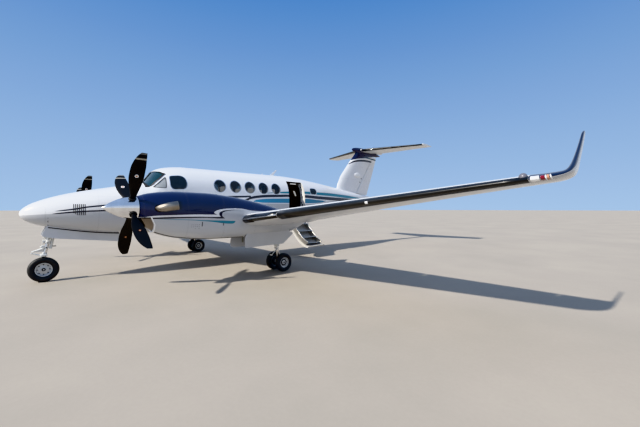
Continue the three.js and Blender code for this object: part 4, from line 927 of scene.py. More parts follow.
fromSide(rounded([(7850, 2342), (7925, 2345), (8025, 2150), (7965, 2125)], 20), -296, -284, bm)
fit(makePiece("door_lining_trim", bm, seatCloth), "airframe", "cabin_trim")
# A cabinet on the starboard side behind the door hides the far window; its near-black colour is painted shade for the
# dim inside seen through the door.
bm = bmesh.new()
addBlock(bm, (-0.70, aft(6620), 1.1955), (-0.30, aft(8320), 2.5), 0.02)
cabinet = makePiece("cabin_cabinet", bm, plainPaint("cabinetPaintedShade", (0.055, 0.035, 0.024), 0.3, 0.3, 0.2))
carve(cabinet, ovalTool(fuselageRow, spread(6400, 8400, 250), -58), operation="INTERSECT")
fit(cabinet, "airframe", "cabin_trim")

tail = makePiece("tail_skin", ovalWall(fuselageRow, tailPlaces, 0, -18), bodyPaint)
bm = bmesh.new()
fromSide(rounded([(10300, 1700), (10550, 1430), (11950, 1640), (12150, 2080)], 60), -13, 13, bm)
ventral = makePiece("ventral_fin", bm, silverPaint)
bevelEdges(ventral, 0.008)
for piece in (tail, ventral):
    fit(piece, "airframe", "white_paint", "tail_cone")
bm = bmesh.new()
loft(bm, ovalRings(fuselageRow, [12395, 12418, 12426], -1))
fit(makePiece("tail_light_base", bm, polishedEdge), "airframe", "silver_paint")
print("fuselage and windows made")


# ---- wings and tail surfaces ----

# Columns: distance out, leading-edge station and height, chord, thickness ratio, incidence in degrees
wingTable = [(500, 3560, 1128, 2250, 0.18, 4.2), (2615, 3610, 1350, 2060, 0.165, 3.4), (8450, 4010, 1963, 930, 0.12, 0)]
tailplaneTable = [(0, 11600, 4405, 1600, 0.105, 0), (2805, 12520, 4410, 820, 0.10, 0)]
# Columns: height, leading edge, trailing edge and rudder hinge
finTable = [(2180, 9950, 12205, 11260), (2500, 10090, 12340, 11494), (2723, 10160, 12438, 11657),
            (3111, 10368, 12607, 11941), (3591, 10796, 12804, 12293), (4163, 11320, 13036, 12711),
            (4330, 11475, 13104, 12834)]
controls = {
    "flap_inner": {"from": 905, "to": 2190, "hinge": 0.78},
    "flap_outer": {"from": 3030, "to": 5440, "hinge": 0.78},
    "aileron": {"from": 5500, "to": 8060, "hinge": 0.78},
    "elevator": {"from": 165, "to": 2640, "hinge": 0.64},
}
wingForm = {"dihedral": 6, "camber": 0.018, "trailing": 4, "runningGap": 9, "endGap": 16}


def halfThickness(c, ratio, chord):
    curve = 0.2969 * math.sqrt(c) - 0.126 * c - 0.3516 * c**2 + 0.2843 * c**3 - 0.1036 * c**4
    return 5 * ratio * curve + wingForm["trailing"] / 2 / chord * c


def camberLine(c, bend):
    return bend * 4 * c * (1 - c)


def aerofoil(ratio, chord, bend, count=26):
    steps = [(1 + math.cos(math.pi * i / count)) / 2 for i in range(count + 1)]
    upper = [(c, camberLine(c, bend) + halfThickness(c, ratio, chord)) for c in steps]
    lower = [(c, camberLine(c, bend) - halfThickness(c, ratio, chord)) for c in steps[:-1]]
    return upper + lower[::-1]


def controlSection(ratio, chord, bend, hinge):
    def at(c, sign):
        return c, camberLine(c, bend) + sign * halfThickness(c, ratio, chord)
    radius = halfThickness(hinge, ratio, chord)
    rear = [1 - (1 - hinge) * i / 5 for i in range(6)]
    nose = [(hinge - radius * math.sin(math.radians(a)), camberLine(hinge, bend) + radius * math.cos(math.radians(a)))
            for a in range(15, 180, 15)]
    return [at(c, 1) for c in rear] + nose + [at(c, -1) for c in rear[::-1]]


def controlSpace(ratio, chord, bend, hinge):
    front = hinge - halfThickness(hinge, ratio, chord) - wingForm["runningGap"] / chord
    return [(1.15, 0.1), (front, 0.1), (front, -0.1), (1.15, -0.1)]


def spanRing(row, section, dihedral):
    out, station, height, chord, ratio, incidence = row
    lean, turn = math.tan(math.radians(dihedral)), math.radians(incidence)
    points = []
    for c, t in section:
        back = chord * (c * math.cos(turn) + t * math.sin(turn))
        up = chord * (t * math.cos(turn) - c * math.sin(turn))
        points.append(Vector(((out - up * lean) * mm, aft(station + back), (height + up) * mm)))
    return points


def spanLoft(table, start, end, section, dihedral, step=260):
    bm = bmesh.new()
    places = sorted({*spread(start, end, step), *[row[0] for row in table if start + 60 < row[0] < end - 60]})
    rows = [linearRow(table, place) for place in places]
    loft(bm, [spanRing(row, section(row), dihedral) for row in rows])
    return bm


def wingSection(row):
    return aerofoil(row[4], row[3], wingForm["camber"])


def controlPiece(name, table, dihedral, bend, grow=0):
    form = controls[name]
    return spanLoft(table, form["from"] - grow, form["to"] + grow,
                    lambda row: controlSection(row[4], row[3], bend, form["hinge"]), dihedral)


def controlHole(name, table, dihedral, bend):
    form, grow = controls[name], wingForm["endGap"]
    return tool(spanLoft(table, form["from"] - grow, form["to"] + grow,
                         lambda row: controlSpace(row[4], row[3], bend, form["hinge"]), dihedral, 1400))


nacelleFull = spread(1592, 5950, 90)
dihedral, bend = wingForm["dihedral"], wingForm["camber"]
root = makePiece("wing_root_skin_port", spanLoft(wingTable, 520, track, wingSection, dihedral), wingPaint, wingWhite)
carve(root, ovalTool(fuselageRow, spread(3000, 6400, 100), 0.3), ovalTool(nacelleRow, nacelleFull, 0.3, track),
      controlHole("flap_inner", wingTable, dihedral, bend))
paintFaces(root, lambda c, n: n.z > 0.15, 1)
bothSides(root, "airframe", "silver_paint", "wing_root_port")
outer = makePiece("wing_outer_skin_port", spanLoft(wingTable, track, 8449.7, wingSection, dihedral), wingPaint, wingWhite)
carve(outer, ovalTool(nacelleRow, nacelleFull, 0.3, track), controlHole("flap_outer", wingTable, dihedral, bend),
      controlHole("aileron", wingTable, dihedral, bend))
paintFaces(outer, lambda c, n: n.z > 0.15, 1)
bothSides(outer, "airframe", "white_paint", "wing_outer_port")

for name in ("flap_inner", "flap_outer", "aileron"):
    surface = makePiece(name + "_skin_port", controlPiece(name, wingTable, dihedral, bend), controlPaint)
    bothSides(surface, name + "_port", "white_paint", name + "_port")

wingletTable = [(0, 8450, 1963, 4010, 930, 6), (1, 8610, 1984, 4085, 850, 12), (2, 8710, 2010, 4155, 750, 32),
                (3, 8772, 2055, 4260, 620, 62), (4, 8797, 2130, 4390, 490, 80), (5, 8806, 2260, 4590, 375, 86),
                (6, 8814, 2450, 4850, 290, 86), (7, 8819, 2600, 5040, 215, 86), (8, 8821, 2630, 5110, 140, 86)]
wingletRow = curveThrough(wingletTable)


def wingletRing(place, grow=0.0):
    out, height, station, chord, cant = wingletRow(place)
    tilt = math.radians(cant)
    return [Vector(((out - math.sin(tilt) * t * chord) * mm, aft(station + c * chord),
                    (height + math.cos(tilt) * t * chord) * mm))
            for c, t in aerofoil(0.12 + (cant - 6) * 0.0003, chord, bend)]


bm = bmesh.new()
loft(bm, [wingletRing(place) for place in spread(0, 8, 0.16)])
bothSides(makePiece("winglet_skin_port", bm, wingletPaint), "airframe", "blue_paint", "winglet_port")

# Lenses on the wing tip's leading edge, and a small fairing over it
# the short white strip between the red and amber lenses is a painted glint
tipLenses = [("tip_lens_white_port", 0.10, 0.56, lampWhite), ("tip_lens_red_port", 0.62, 0.86, lampRed),
             ("tip_lens_bright_port", 0.88, 0.97, lampWhite), ("tip_lens_amber_port", 0.99, 1.16, lampAmber),
             ("tip_lens_clear_port", 1.22, 1.32, lampWhite)]
for name, first, last, material in tipLenses:
    rings = []
    for place in spread(first, last, 0.06):
        ring = wingletRing(place)
        inside = (ring[20] + ring[32]) / 2
        rings.append([point + (point - inside).normalized() * 0.0022 for point in ring[23:31]])
    bm = bmesh.new()
    loft(bm, rings, closed=False)
    lens = makePiece(name, bm, material)
    solidify(lens, 0.0016, 0)
    bothSides(lens, "airframe", "tinted_glass")
bm = bmesh.new()
ball = bmesh.ops.create_uvsphere(bm, u_segments=32, v_segments=20, radius=1)["verts"]
bmesh.ops.scale(bm, vec=(0.046, 0.05, 0.05), verts=ball)
bmesh.ops.translate(bm, vec=(8.387, aft(4074), 1.992), verts=ball)
bothSides(makePiece("tip_fairing_port", bm, plainPaint("fairingGrey", (0.12, 0.12, 0.15), 0.3, 0.3, 0.05)), "airframe",
          "panel_black")


def edgeSkin(table, start, end, upper, lower, proud, dihedral, bend, step=260):
    # a thin skin wrapped round a leading edge, from a share of the chord above to one below
    bm = bmesh.new()
    rings = []
    for place in spread(start, end, step):
        row = linearRow(table, place)
        outline = [(c, camberLine(c, bend) + halfThickness(c, row[4], row[3]))
                   for c in [upper * (1 - math.sin(math.pi / 2 * i / 12)) for i in range(12)]]
        outline += [(0, 0)]
        outline += [(c, camberLine(c, bend) - halfThickness(c, row[4], row[3]))
                    for c in [lower * (1 - math.cos(math.pi / 2 * i / 12)) for i in range(1, 13)]]
        moved = []
        for i, point in enumerate(outline):
            a, b = Vector(outline[max(i - 1, 0)]), Vector(outline[min(i + 1, len(outline) - 1)])
            way = (b - a).normalized()
            moved.append((point[0] + way.y * proud / row[3], point[1] - way.x * proud / row[3]))
        rings.append(spanRing(row, moved, dihedral))
    loft(bm, rings, closed=False)
    return bm


def addEdgeSkin(name, table, start, end, upper, lower, material, proud=1.6, lean=dihedral, curve=bend):
    skin = makePiece(name, edgeSkin(table, start, end, upper, lower, proud, lean, curve), material)
    solidify(skin, 0.0016, 0)
    return skin


bothSides(addEdgeSkin("wing_boot_port", wingTable, 4160, 8449, 0.055, 0.085, bootRubber), "airframe", "panel_black")
bothSides(addEdgeSkin("wing_edge_cover_port", wingTable, 3000, 4150, 0.045, 0.03, edgeBlack, 1.2), "airframe", "panel_black")
bothSides(addEdgeSkin("wing_edge_strip_port", wingTable, 3000, 4140, 0.0007, 0.0012, polishedEdge, 3.0), "airframe",
          "spinner_chrome")
bothSides(addEdgeSkin("landing_lamp_port", wingTable, 6285, 6335, 0.0007, 0.012, lampWhite, 3.4), "airframe",
          "tinted_glass")
bothSides(addEdgeSkin("wing_edge_end_port", wingTable, 2985, 3330, 0.0007, 0.044, edgeBlack, 2.0), "airframe",
          "panel_black")
print("wings made")

# Fin and rudder
finForm = {"thickness": 0.11, "rudderBottom": 2150, "rudderTop": 4160, "clearance": 24, "rise": 40}


def finLoft(start, end, section, step=120):
    bm = bmesh.new()
    rings = []
    for place in sorted({*spread(start, end, step), *[row[0] for row in finTable if start + 20 < row[0] < end - 20]}):
        height, front, back, hinge = linearRow(finTable, place)
        chord = back - front
        rings.append([Vector((t * chord * mm, aft(front + c * chord), height * mm))
                      for c, t in section(finForm["thickness"], chord, (hinge - front) / chord)])
    loft(bm, rings)
    return bm


fin = makePiece("fin_skin", finLoft(2180, 4330, lambda ratio, chord, hinge: aerofoil(ratio, chord, 0)), finPaint)
rudderHole = tool(finLoft(2100, finForm["rudderTop"] + finForm["rise"],
                          lambda ratio, chord, hinge: controlSpace(ratio, chord, 0, hinge)))
bulletFull = [11145 + 2215 * (i / 36) ** 1.7 for i in range(37)]
carve(fin, rudderHole, ovalTool(fuselageRow, spread(9000, 12420, 100), 0.3), ovalTool(bulletRow, bulletFull, 0.3))
fit(fin, "airframe", "silver_paint", "fin")
rudder = makePiece("rudder_skin", finLoft(2150, 4160, lambda ratio, chord, hinge: controlSection(ratio, chord, 0, hinge)),
                   finPaint)
carve(rudder, ovalTool(fuselageRow, spread(10800, 12420, 100), finForm["clearance"]))
fit(rudder, "rudder", "silver_paint", "rudder")

# A blister and two small fittings on each side of the fin
bm = bmesh.new()
ball = bmesh.ops.create_uvsphere(bm, u_segments=32, v_segments=20, radius=1)["verts"]
bmesh.ops.scale(bm, vec=(0.05, 0.25, 0.13), verts=ball)
bmesh.ops.translate(bm, vec=(0.11, aft(11390), 3.19), verts=ball)
blisterWhite = plainPaint("blisterWhite", colours["white"][:3], 0.2, 0.5, 0.05)
bothSides(makePiece("fin_blister_port", bm, blisterWhite), "airframe", "white_paint")
bm = bmesh.new()
for station, z in ((11690, 3.03), (11580, 2.86)):
    addBlock(bm, (0.06, aft(station), z), (0.10, aft(station + 60), z + 0.045), 0.004)
bothSides(makePiece("fin_fittings_port", bm, darkMetal), "airframe", "gear_metal")

half = makePiece("tailplane_skin_port", spanLoft(tailplaneTable, 40, 2805, lambda row: aerofoil(row[4], row[3], 0), 0),
                 tailPaint)
carve(half, controlHole("elevator", tailplaneTable, 0, 0))
bothSides(half, "airframe", "white_paint")
bm = bmesh.new()
loft(bm, ovalRings(bulletRow, bulletFull, count=64))
fit(makePiece("bullet_fairing", bm, navyPaint), "airframe", "navy_paint", "tailplane")
elevator = makePiece("elevator_skin_port", controlPiece("elevator", tailplaneTable, 0, 0), controlPaint)
bothSides(elevator, "elevator_port", "white_paint", "elevator_port")
# A fairing under each elevator's root, in a white lighter than the tailplane's paint: a painted reflection for the
# brightness it shows from below
bm = bmesh.new()
ball = bmesh.ops.create_uvsphere(bm, u_segments=32, v_segments=20, radius=1)["verts"]
bmesh.ops.scale(bm, vec=(0.10, 0.22, 0.065), verts=ball)
bmesh.ops.translate(bm, vec=(0.30, aft(12880), 4.362), verts=ball)
bothSides(makePiece("elevator_fairing_port", bm, blisterWhite), "elevator_port", "white_paint")
bothSides(addEdgeSkin("tailplane_boot_port", tailplaneTable, 150, 2765, 0.085, 0.085, bootRubber, 1.4, 0, 0),
          "airframe", "panel_black")
print("tail made")


# ---- nacelles, exhausts and propellers ----

thrust = {"height": 1650, "hub": 1485, "tip": 1025, "back": 1580, "radius": 205}
exhaustPath = [(190, 1862, 1635, 44), (255, 1874, 1636, 54), (325, 1906, 1642, 68), (385, 1968, 1656, 80),
               (425, 2060, 1676, 86), (450, 2190, 1694, 87)]


def addTube(bm, path, radii, segments=40, capped=(True, True), squash=1.0):
    # a pipe through points in metres
    rings = []
    for i, (point, radius) in enumerate(zip(path, radii)):
        way = (Vector(path[min(i + 1, len(path) - 1)]) - Vector(path[max(i - 1, 0)])).normalized()
        side = way.cross(Vector((0, 0, 1))).normalized()
        over = side.cross(way)
        rings.append([Vector(point) + side * radius * squash * math.cos(a) + over * radius * math.sin(a)
                      for a in [fullTurn * k / segments for k in range(segments)]])
    loft(bm, rings, capped=capped)


def exhaustPipe(bm, side, grow, start=0.0, beyond=0.0):
    row = curveThrough([(i, *point) for i, point in enumerate(exhaustPath)])
    rows = [row(p) for p in spread(start, 5, 0.25)]
    if beyond:
        rows.append((rows[-1][0] + beyond * 0.17, rows[-1][1] + beyond, rows[-1][2] + beyond * 0.12, rows[-1][3]))
    addTube(bm, [((track + side * x) * mm, aft(s), z * mm) for x, s, z, r in rows],
            [(r + grow) * mm for x, s, z, r in rows])


nacellePlaces = ([1592, 1600, 1612, 1630, 1660, 1695, 1728] + spread(1760, 3720, 60) + spread(3780, 5950, 70))
bm = bmesh.new()
loft(bm, ovalRings(nacelleRow, nacellePlaces, 0, track, 80))
nacelle = makePiece("cowl_skin_port", bm, nacellePaint, bayPaint, darkMetal)
across = (track - 400, track + 400)
engineSpace = ovalTool(nacelleRow, spread(1622, 3550, 120), -30, track)
bm = bmesh.new()
fromSide([(1450, 800), (1760, 800), (1760, 1500), (1450, 1500)], *across, bm)
carve(engineSpace, tool(bm))
shaftHole = bmesh.new()
addBar(shaftHole, (track * mm, aft(1500), 1.65), (track * mm, aft(1900), 1.65), 0.13, segments=40)
lipOutline = [(1450, 1470), (1760, 1470), (1826, 1330), (1838, 1184), (1800, 900), (1450, 900)]
frontCut = bmesh.new()
fromSide(lipOutline, *across, frontCut)
bayHole = bmesh.new()
addBlock(bayHole, ((track - 285) * mm, aft(3780), 0.8), ((track + 285) * mm, aft(5080), 1.4))
pipeHoles = bmesh.new()
for side in (1, -1):
    exhaustPipe(pipeHoles, side, 9)
carve(nacelle, engineSpace, tool(shaftHole), tool(frontCut), tool(bayHole), tool(pipeHoles))


def inBay(c, n):
    inside = aft(3779) < c.y < aft(5081) and abs(c.x - track * mm) < 0.286
    return inside and c.z < 1.401 and (n.z < -0.9 and c.z > 1.39 or abs(n.z) < 0.05 and (abs(n.x) > 0.99 or abs(n.y) > 0.99)
                                       and abs(c.x - track * mm) < 0.2855)


paintFaces(nacelle, inBay, 1)
bothSides(nacelle, "airframe", "blue_paint", "nacelle_port")

# Latches and the drain slots on the cowl's flanks
bm = bmesh.new()
for station, z0, z1, width in ((2704, 1264, 1358, 18), (3175, 1264, 1322, 18)):
    for x0, x1 in ((track + 150, track + 500), (track - 500, track - 150)):
        fromSide([(station, z0), (station + width, z0), (station + width, z1), (station, z1)], x0, x1, bm)
    for row in range(3):
        for spot in range(5):
            y, z = aft(2500 + spot * 38), (1225 + row * 38) * mm
            addBar(bm, ((track - 500) * mm, y, z), ((track + 500) * mm, y, z), 0.006, segments=12)
# a dark strip along the cowl's lower edge
for x0, x1 in ((track + 60, track + 500), (track - 500, track - 60)):
    line = [(s, nacelleRow(s)[1]) for s in spread(1850, 3760, 90)]
    fromSide([(s, z + 12) for s, z in line] + [(s, z + 26) for s, z in line[::-1]], x0, x1, bm)
latches = makePiece("cowl_latches_port", ovalWall(nacelleRow, spread(1840, 3780, 40), 1.5, -3, track), sealRubber)
carve(latches, tool(bm), operation="INTERSECT")
bothSides(latches, "airframe", "panel_black")

bm = bmesh.new()
addSpun(bm, [(0, 1.81), (0.15, 1.81), (0.19, 1.84), (0.21, 1.9), (0.21, 3.54), (0, 3.54)],
        (track * mm, noseY, 1.65), (0, 1, 0), 40)
bothSides(makePiece("engine_case_port", bm, darkMetal), "airframe", "panel_black", "engine_port")
bm = bmesh.new()
for side in (1, -1):
    exhaustPipe(bm, side, 0)
pipes = makePiece("exhaust_stubs_port", bm, exhaustSteel, darkMetal)
bm = bmesh.new()
for side in (1, -1):
    exhaustPipe(bm, side, -5, 2.5, 80)
carve(pipes, tool(bm))
bothSides(pipes, "airframe", "hot_steel")

# The air intake under the engine, with a slanting mouth ahead of the lower cowl
mouth = [(1620, 1455), (1786, 1180), (1786, 1000), (1960, 1000), (1960, 1455)]
duct = makePiece("intake_duct_port", ovalWall(nacelleRow, spread(1600, 1960, 30), -45, -53, track, 72), ductMetal)
bm = bmesh.new()
fromSide(mouth, *across, bm)
carve(duct, tool(bm), operation="INTERSECT")
bothSides(duct, "airframe", "hot_steel")
bm = bmesh.new()
fromFront([(track + x, z) for x, z in ((-215, 1455), (215, 1455), (215, 1447), (-215, 1447))], 1640, 1960, bm)
bothSides(makePiece("intake_duct_roof_port", bm, darkMetal), "airframe", "panel_black")

# A bright lip along the slanted front edge of the lower cowl
lipLine = [(1760, 1470), (1826, 1330), (1838, 1184), (1800, 900)]
bm = bmesh.new()
fromSide([(s - 3, z) for s, z in lipLine] + [(s + 15, z) for s, z in lipLine[::-1]], *across, bm)
lip = makePiece("intake_lip_port", ovalWall(nacelleRow, spread(1750, 1870, 12), 4, -32, track, 80), lampWhite)
bothSides(carve(lip, tool(bm), operation="INTERSECT"), "airframe", "silver_paint")

# Spinner and blades. Blade columns: radius, chord, thickness, sweep back, pitch in degrees
bladeTable = [(90, 90, 88, 0, 60, 0), (215, 88, 68, 0, 70, 3), (300, 112, 50, -4, 73, 7), (400, 152, 34, -10, 76, 12),
              (520, 206, 26, -20, 79, 20), (700, 242, 20, -30, 81, 30), (860, 236, 15, -34, 83, 38),
              (1000, 198, 11, -30, 85, 45), (1100, 150, 8, -18, 86, 51), (1170, 92, 6, 0, 86, 55)]
bladeRow = curveThrough(bladeTable)
firstBlade, bladeCount = 36, 4
bladePaint, tree, shader, place = startMaterial("bladePaint", **{"Specular IOR Level": 0.25})
axes = tree.nodes.new("ShaderNodeSeparateXYZ")
feed(tree, axes.inputs[0], place)
across = addMath(tree, "SUBTRACT", addMath(tree, "ABSOLUTE", axes.outputs[0]), track * mm)
upward = addMath(tree, "SUBTRACT", axes.outputs[2], thrust["height"] * mm)
away = addMath(tree, "SQRT", addMath(tree, "ADD", addMath(tree, "MULTIPLY", across, across),
                                     addMath(tree, "MULTIPLY", upward, upward)))
shade = addMix(tree, addBand(tree, away, 1.135, 2.0), (0.005, 0.005, 0.006, 1), (0.16, 0.165, 0.17, 1))
shade = addMix(tree, addBand(tree, away, 1.03, 1.062), shade, (0.36, 0.34, 0.30, 1))
finishPaint(tree, shader, place, shade, 0.5, 0.05)
bladeBlack, tree, shader, place = startMaterial("bladeBlack", **{"Specular IOR Level": 0.25})
finishPaint(tree, shader, place, (0.004, 0.004, 0.005, 1), 0.55, 0.05)


def bladeRing(radius, count=28):
    chord, thickness, sweep, pitch, lean = bladeRow(radius)
    turn = math.radians(pitch)
    round_ = min(1.0, max(0.0, (400 - radius) / 250))
    points = []
    for k in range(count):
        angle = fullTurn * k / count
        along = (chord / 2) * math.cos(angle)
        # the root is round, and further out the blade is blunt ahead and thin behind
        flat = math.sin(angle) * (0.62 - 0.38 * math.cos(angle)) if round_ < 1 else math.sin(angle)
        thick = (thickness / 2) * (math.sin(angle) * round_ + flat * (1 - round_) * 1.3)
        along += sweep
        points.append(Vector((along * math.cos(turn) - thick * math.sin(turn),
                              along * math.sin(turn) + thick * math.cos(turn) + lean, radius)) * mm)
    return points


propellerCentre = {"port": Vector((track * mm, aft(thrust["hub"]), 1.65)),
                   "starboard": Vector((-track * mm, aft(thrust["hub"]), 1.65))}
tipLength, backLength = thrust["tip"] - thrust["hub"], thrust["back"] - thrust["hub"]
spinnerProfile = [(0, tipLength)]
for i in range(1, 31):
    t = (i / 30) ** 1.4
    radius = thrust["radius"] * (1 - (1 - t) ** 2.1)
    spinnerProfile.append((radius, tipLength + t * (backLength - 60 - tipLength)))
spinnerProfile += [(205, backLength - 30), (205, backLength), (196, backLength), (0, backLength)]


def bladeTurn(i):
    return Matrix.Rotation(math.radians(firstBlade + i * 360 / bladeCount), 3, "Y")


for side, centre in propellerCentre.items():
    bm = bmesh.new()
    addSpun(bm, [(r * mm, d * mm) for r, d in spinnerProfile], centre, (0, 1, 0), 72)
    spinner = makePiece("spinner_shell_" + side, bm, chrome, darkMetal)
    holes = bmesh.new()
    for i in range(bladeCount):
        turn = bladeTurn(i)
        addBar(holes, centre + turn @ Vector((0, 0, 0.1)), centre + turn @ Vector((0, 0, 0.26)), 0.066, segments=32)
    carve(spinner, tool(holes))
    fit(spinner, "propeller_" + side, "spinner_chrome", "spinner_" + side)

    bm = bmesh.new()
    for i in range(bladeCount):
        turn = bladeTurn(i)
        rings = [[centre + turn @ point for point in bladeRing(radius)] for radius in spread(90, 1160, 38) + [1167, 1170]]
        loft(bm, rings)
    blades = makePiece("propeller_blades_" + side, bm, bladePaint, bladeBlack)
    for i in range(bladeCount):
        out, over = bladeTurn(i) @ Vector((0, 0, 1)), bladeTurn(i) @ Vector((1, 0, 0))
        paintFaces(blades, lambda c, n: (c - centre).dot(out) > 0.2 and n.dot(over) < 0, 1)
    fit(blades, "propeller_" + side, "blade_black", "propeller_" + side)
    bm = bmesh.new()
    discs, middles = bmesh.new(), bmesh.new()
    for i in range(bladeCount):
        turn = bladeTurn(i)
        cuff = [(0.046, 0.15), (0.058, 0.15), (0.058, 0.208), (0.064, 0.21), (0.064, 0.226), (0.057, 0.231),
                (0.046, 0.231)]
        addSpun(bm, cuff + cuff[:1], centre, turn @ Vector((0, 0, 1)), 40)
        chord, thickness, sweep, pitch, lean = bladeRow(700)
        flat = math.radians(pitch)
        normal = turn @ Vector((math.sin(flat), -math.cos(flat), 0))
        spot = centre + turn @ (Vector((sweep * math.cos(flat), sweep * math.sin(flat) + lean, 700)) * mm)
        addBar(discs, spot + normal * 0.006, spot + normal * 0.0175, 0.031, segments=28)
        addBar(middles, spot + normal * 0.006, spot + normal * 0.0182, 0.019, segments=24)
        addBar(middles, spot - normal * 0.004, spot - normal * 0.016, 0.017, segments=24)
    addBar(bm, centre + Vector((0, -0.08, 0)), centre + Vector((0, 0.26, 0)), 0.06, segments=32)
    fit(makePiece("blade_cuffs_" + side, bm, sealRubber), "propeller_" + side, "blade_black")
    fit(makePiece("blade_marks_" + side, discs, lampWhite), "propeller_" + side, "silver_paint")
    fit(makePiece("blade_mark_middles_" + side, middles, lampAmber), "propeller_" + side, "silver_paint")
print("nacelles and propellers made")


# ---- landing gear ----

noseWheel = {"station": 385, "radius": 275, "width": 171, "rim": 153, "axle": 20, "holes": 8}
mainWheel = {"station": 4945, "radius": 235, "width": 140, "rim": 150, "axle": 28, "holes": 6, "spacing": 400}


def addTyre(bm, wheel, centre):
    h, wall, rim, radius = wheel["width"] / 2, wheel["radius"] - wheel["rim"], wheel["rim"] + 0.3, wheel["radius"]
    side = [(rim, 0.60), (rim + 0.05 * wall, 0.70), (rim + 0.12 * wall, 0.84), (rim + 0.28 * wall, 0.955),
            (rim + 0.46 * wall, 1.0), (rim + 0.64 * wall, 0.98), (rim + 0.76 * wall, 0.925), (rim + 0.78 * wall, 0.90),
            (rim + 0.80 * wall, 0.905), (rim + 0.88 * wall, 0.80), (rim + 0.94 * wall, 0.68), (rim + 0.975 * wall, 0.56)]
    tread = []
    for groove in (0.46, 0.16):
        r = radius - 0.6 - 0.02 * wall * groove * 2
        tread += [(r, groove + 0.035), (r - 6, groove + 0.03), (r - 6, groove - 0.03), (r, groove - 0.035)]
    outline = side + tread
    outline = [(r, h * d) for r, d in outline] + [(radius, 0)] + [(r, -h * d) for r, d in outline[::-1]]
    addSpun(bm, [(r * mm, d * mm) for r, d in outline + outline[:1]], centre, (1, 0, 0), 72)


def addRim(bm, wheel, centre, out):
    # out is +1 where the outer face looks to port
    h, R = wheel["width"] / 2, wheel["rim"]
    outline = [(0, 0.30), (0.13, 0.30), (0.14, 0.44), (0.22, 0.44), (0.24, 0.33), (0.36, 0.30), (0.60, 0.16),
               (0.74, 0.15), (0.80, 0.22), (0.84, 0.42), (0.86, 0.66), (0.90, 0.72), (0.985, 0.74), (0.998, 0.70),
               (0.998, 0.45), (0.97, 0.35)]
    outline = [(r * R, out * d * h) for r, d in outline] + [(r * R, -out * d * h) for r, d in outline[::-1]]
    addSpun(bm, [(r * mm, d * mm) for r, d in outline], centre, (1, 0, 0), 72)


def rimHoles(wheel, centres):
    bm = bmesh.new()
    for centre in centres:
        for i in range(wheel["holes"]):
            angle = fullTurn * i / wheel["holes"]
            spot = Vector(centre) + Vector((0, math.cos(angle), math.sin(angle))) * wheel["rim"] * 0.70 * mm
            addBar(bm, spot - Vector((0.1, 0, 0)), spot + Vector((0.1, 0, 0)), wheel["rim"] * 0.085 * mm, segments=20)
    return tool(bm)


def addShadeRing(bm, wheel, centre):
    # a dark ring inside the web, seen through the holes: painted shade behind them
    a, b = wheel["rim"] * 0.58 * mm, wheel["rim"] * 0.82 * mm
    addSpun(bm, [(a, -0.003), (b, -0.003), (b, 0.003), (a, 0.003), (a, -0.003)], centre, (1, 0, 0), 48)


def addBolts(bm, centre, radius, count, x, length, size=0.005):
    for i in range(count):
        angle = fullTurn * (i + 0.5) / count
        spot = Vector(centre) + Vector((x, math.cos(angle) * radius, math.sin(angle) * radius))
        addBar(bm, spot, spot + Vector((length, 0, 0)), size, segments=6)


noseAxle = Vector((0, aft(385), 0.275))
bm = bmesh.new()
addTyre(bm, noseWheel, noseAxle)
fit(makePiece("nose_tyre_rubber", bm, tyreRubber, sharp=50), "nose_wheel", "tyre_rubber", "nose_tyre")
bm = bmesh.new()
addRim(bm, noseWheel, noseAxle, 1)
rim = carve(makePiece("nose_rim", bm, wheelPaint), rimHoles(noseWheel, [noseAxle]))
fit(rim, "nose_wheel", "wheel_metal", "nose_wheel")
bm = bmesh.new()
for side in (1, -1):
    addSpun(bm, [(0, side * 0.0385), (0.033, side * 0.0385), (0.036, side * 0.036), (0.036, side * 0.02), (0, side * 0.02)],
            noseAxle, (1, 0, 0), 32)
addShadeRing(bm, noseWheel, noseAxle)
addBar(bm, noseAxle - Vector((0.137, 0, 0)), noseAxle + Vector((0.05, 0, 0)), 0.0195, segments=32)
fit(makePiece("nose_axle", bm, darkMetal), "nose_wheel", "gear_metal")
bm = bmesh.new()
addBar(bm, noseAxle + Vector((0.03, 0, 0)), noseAxle + Vector((0.053, 0, 0)), 0.013, segments=24)
fit(makePiece("nose_hub_middle", bm, wheelPaint), "nose_wheel", "wheel_metal")

legTop, legFoot = Vector((0, aft(560), 1.32)), Vector((0, aft(412), 0.655))
legWay = (legFoot - legTop).normalized()


def onLeg(distance, x=0.0, ahead=0.0):
    # a place on the nose leg: metres below its top, across, and ahead of it
    return legTop + legWay * distance + Vector((x, -ahead, 0))


bm = bmesh.new()
addBar(bm, legTop, onLeg(0.46), 0.05, segments=40)
for d, r, l in ((0.08, 0.058, 0.03), (0.30, 0.057, 0.035), (0.44, 0.058, 0.04)):
    addBar(bm, onLeg(d), onLeg(d + l), r, segments=40)
addBar(bm, (-0.169, *legTop[1:]), (0.169, *legTop[1:]), 0.034, segments=32)
addBar(bm, (0, aft(530), 1.15), (0, aft(1230), 1.39), 0.022, segments=24)
addBlock(bm, (-0.06, aft(1190), 1.37), (0.06, aft(1270), 1.4297), 0.008)
addBar(bm, onLeg(0.33, 0.0, -0.07), onLeg(0.60, 0.0, -0.075), 0.028, segments=24)
addBar(bm, (0.0, aft(430), 0.755), (0.0, aft(330), 0.785), 0.013, 0.016, 16)
addBar(bm, onLeg(0.46, -0.055), onLeg(0.46, 0.055), 0.03, segments=24)
addBar(bm, onLeg(0.57, -0.05), onLeg(0.57, 0.05), 0.026, segments=24)
addBlock(bm, onLeg(0.35, -0.018, -0.085), onLeg(0.30, 0.018, -0.03), 0.004)
addBar(bm, onLeg(0.40, -0.10, -0.03), onLeg(0.40, 0.10, -0.03), 0.012, segments=20)
addBlock(bm, onLeg(0.44, -0.03, 0.02), onLeg(0.30, 0.03, 0.075), 0.006)
noseLeg = makePiece("nose_leg_tube", bm, gearPaint)
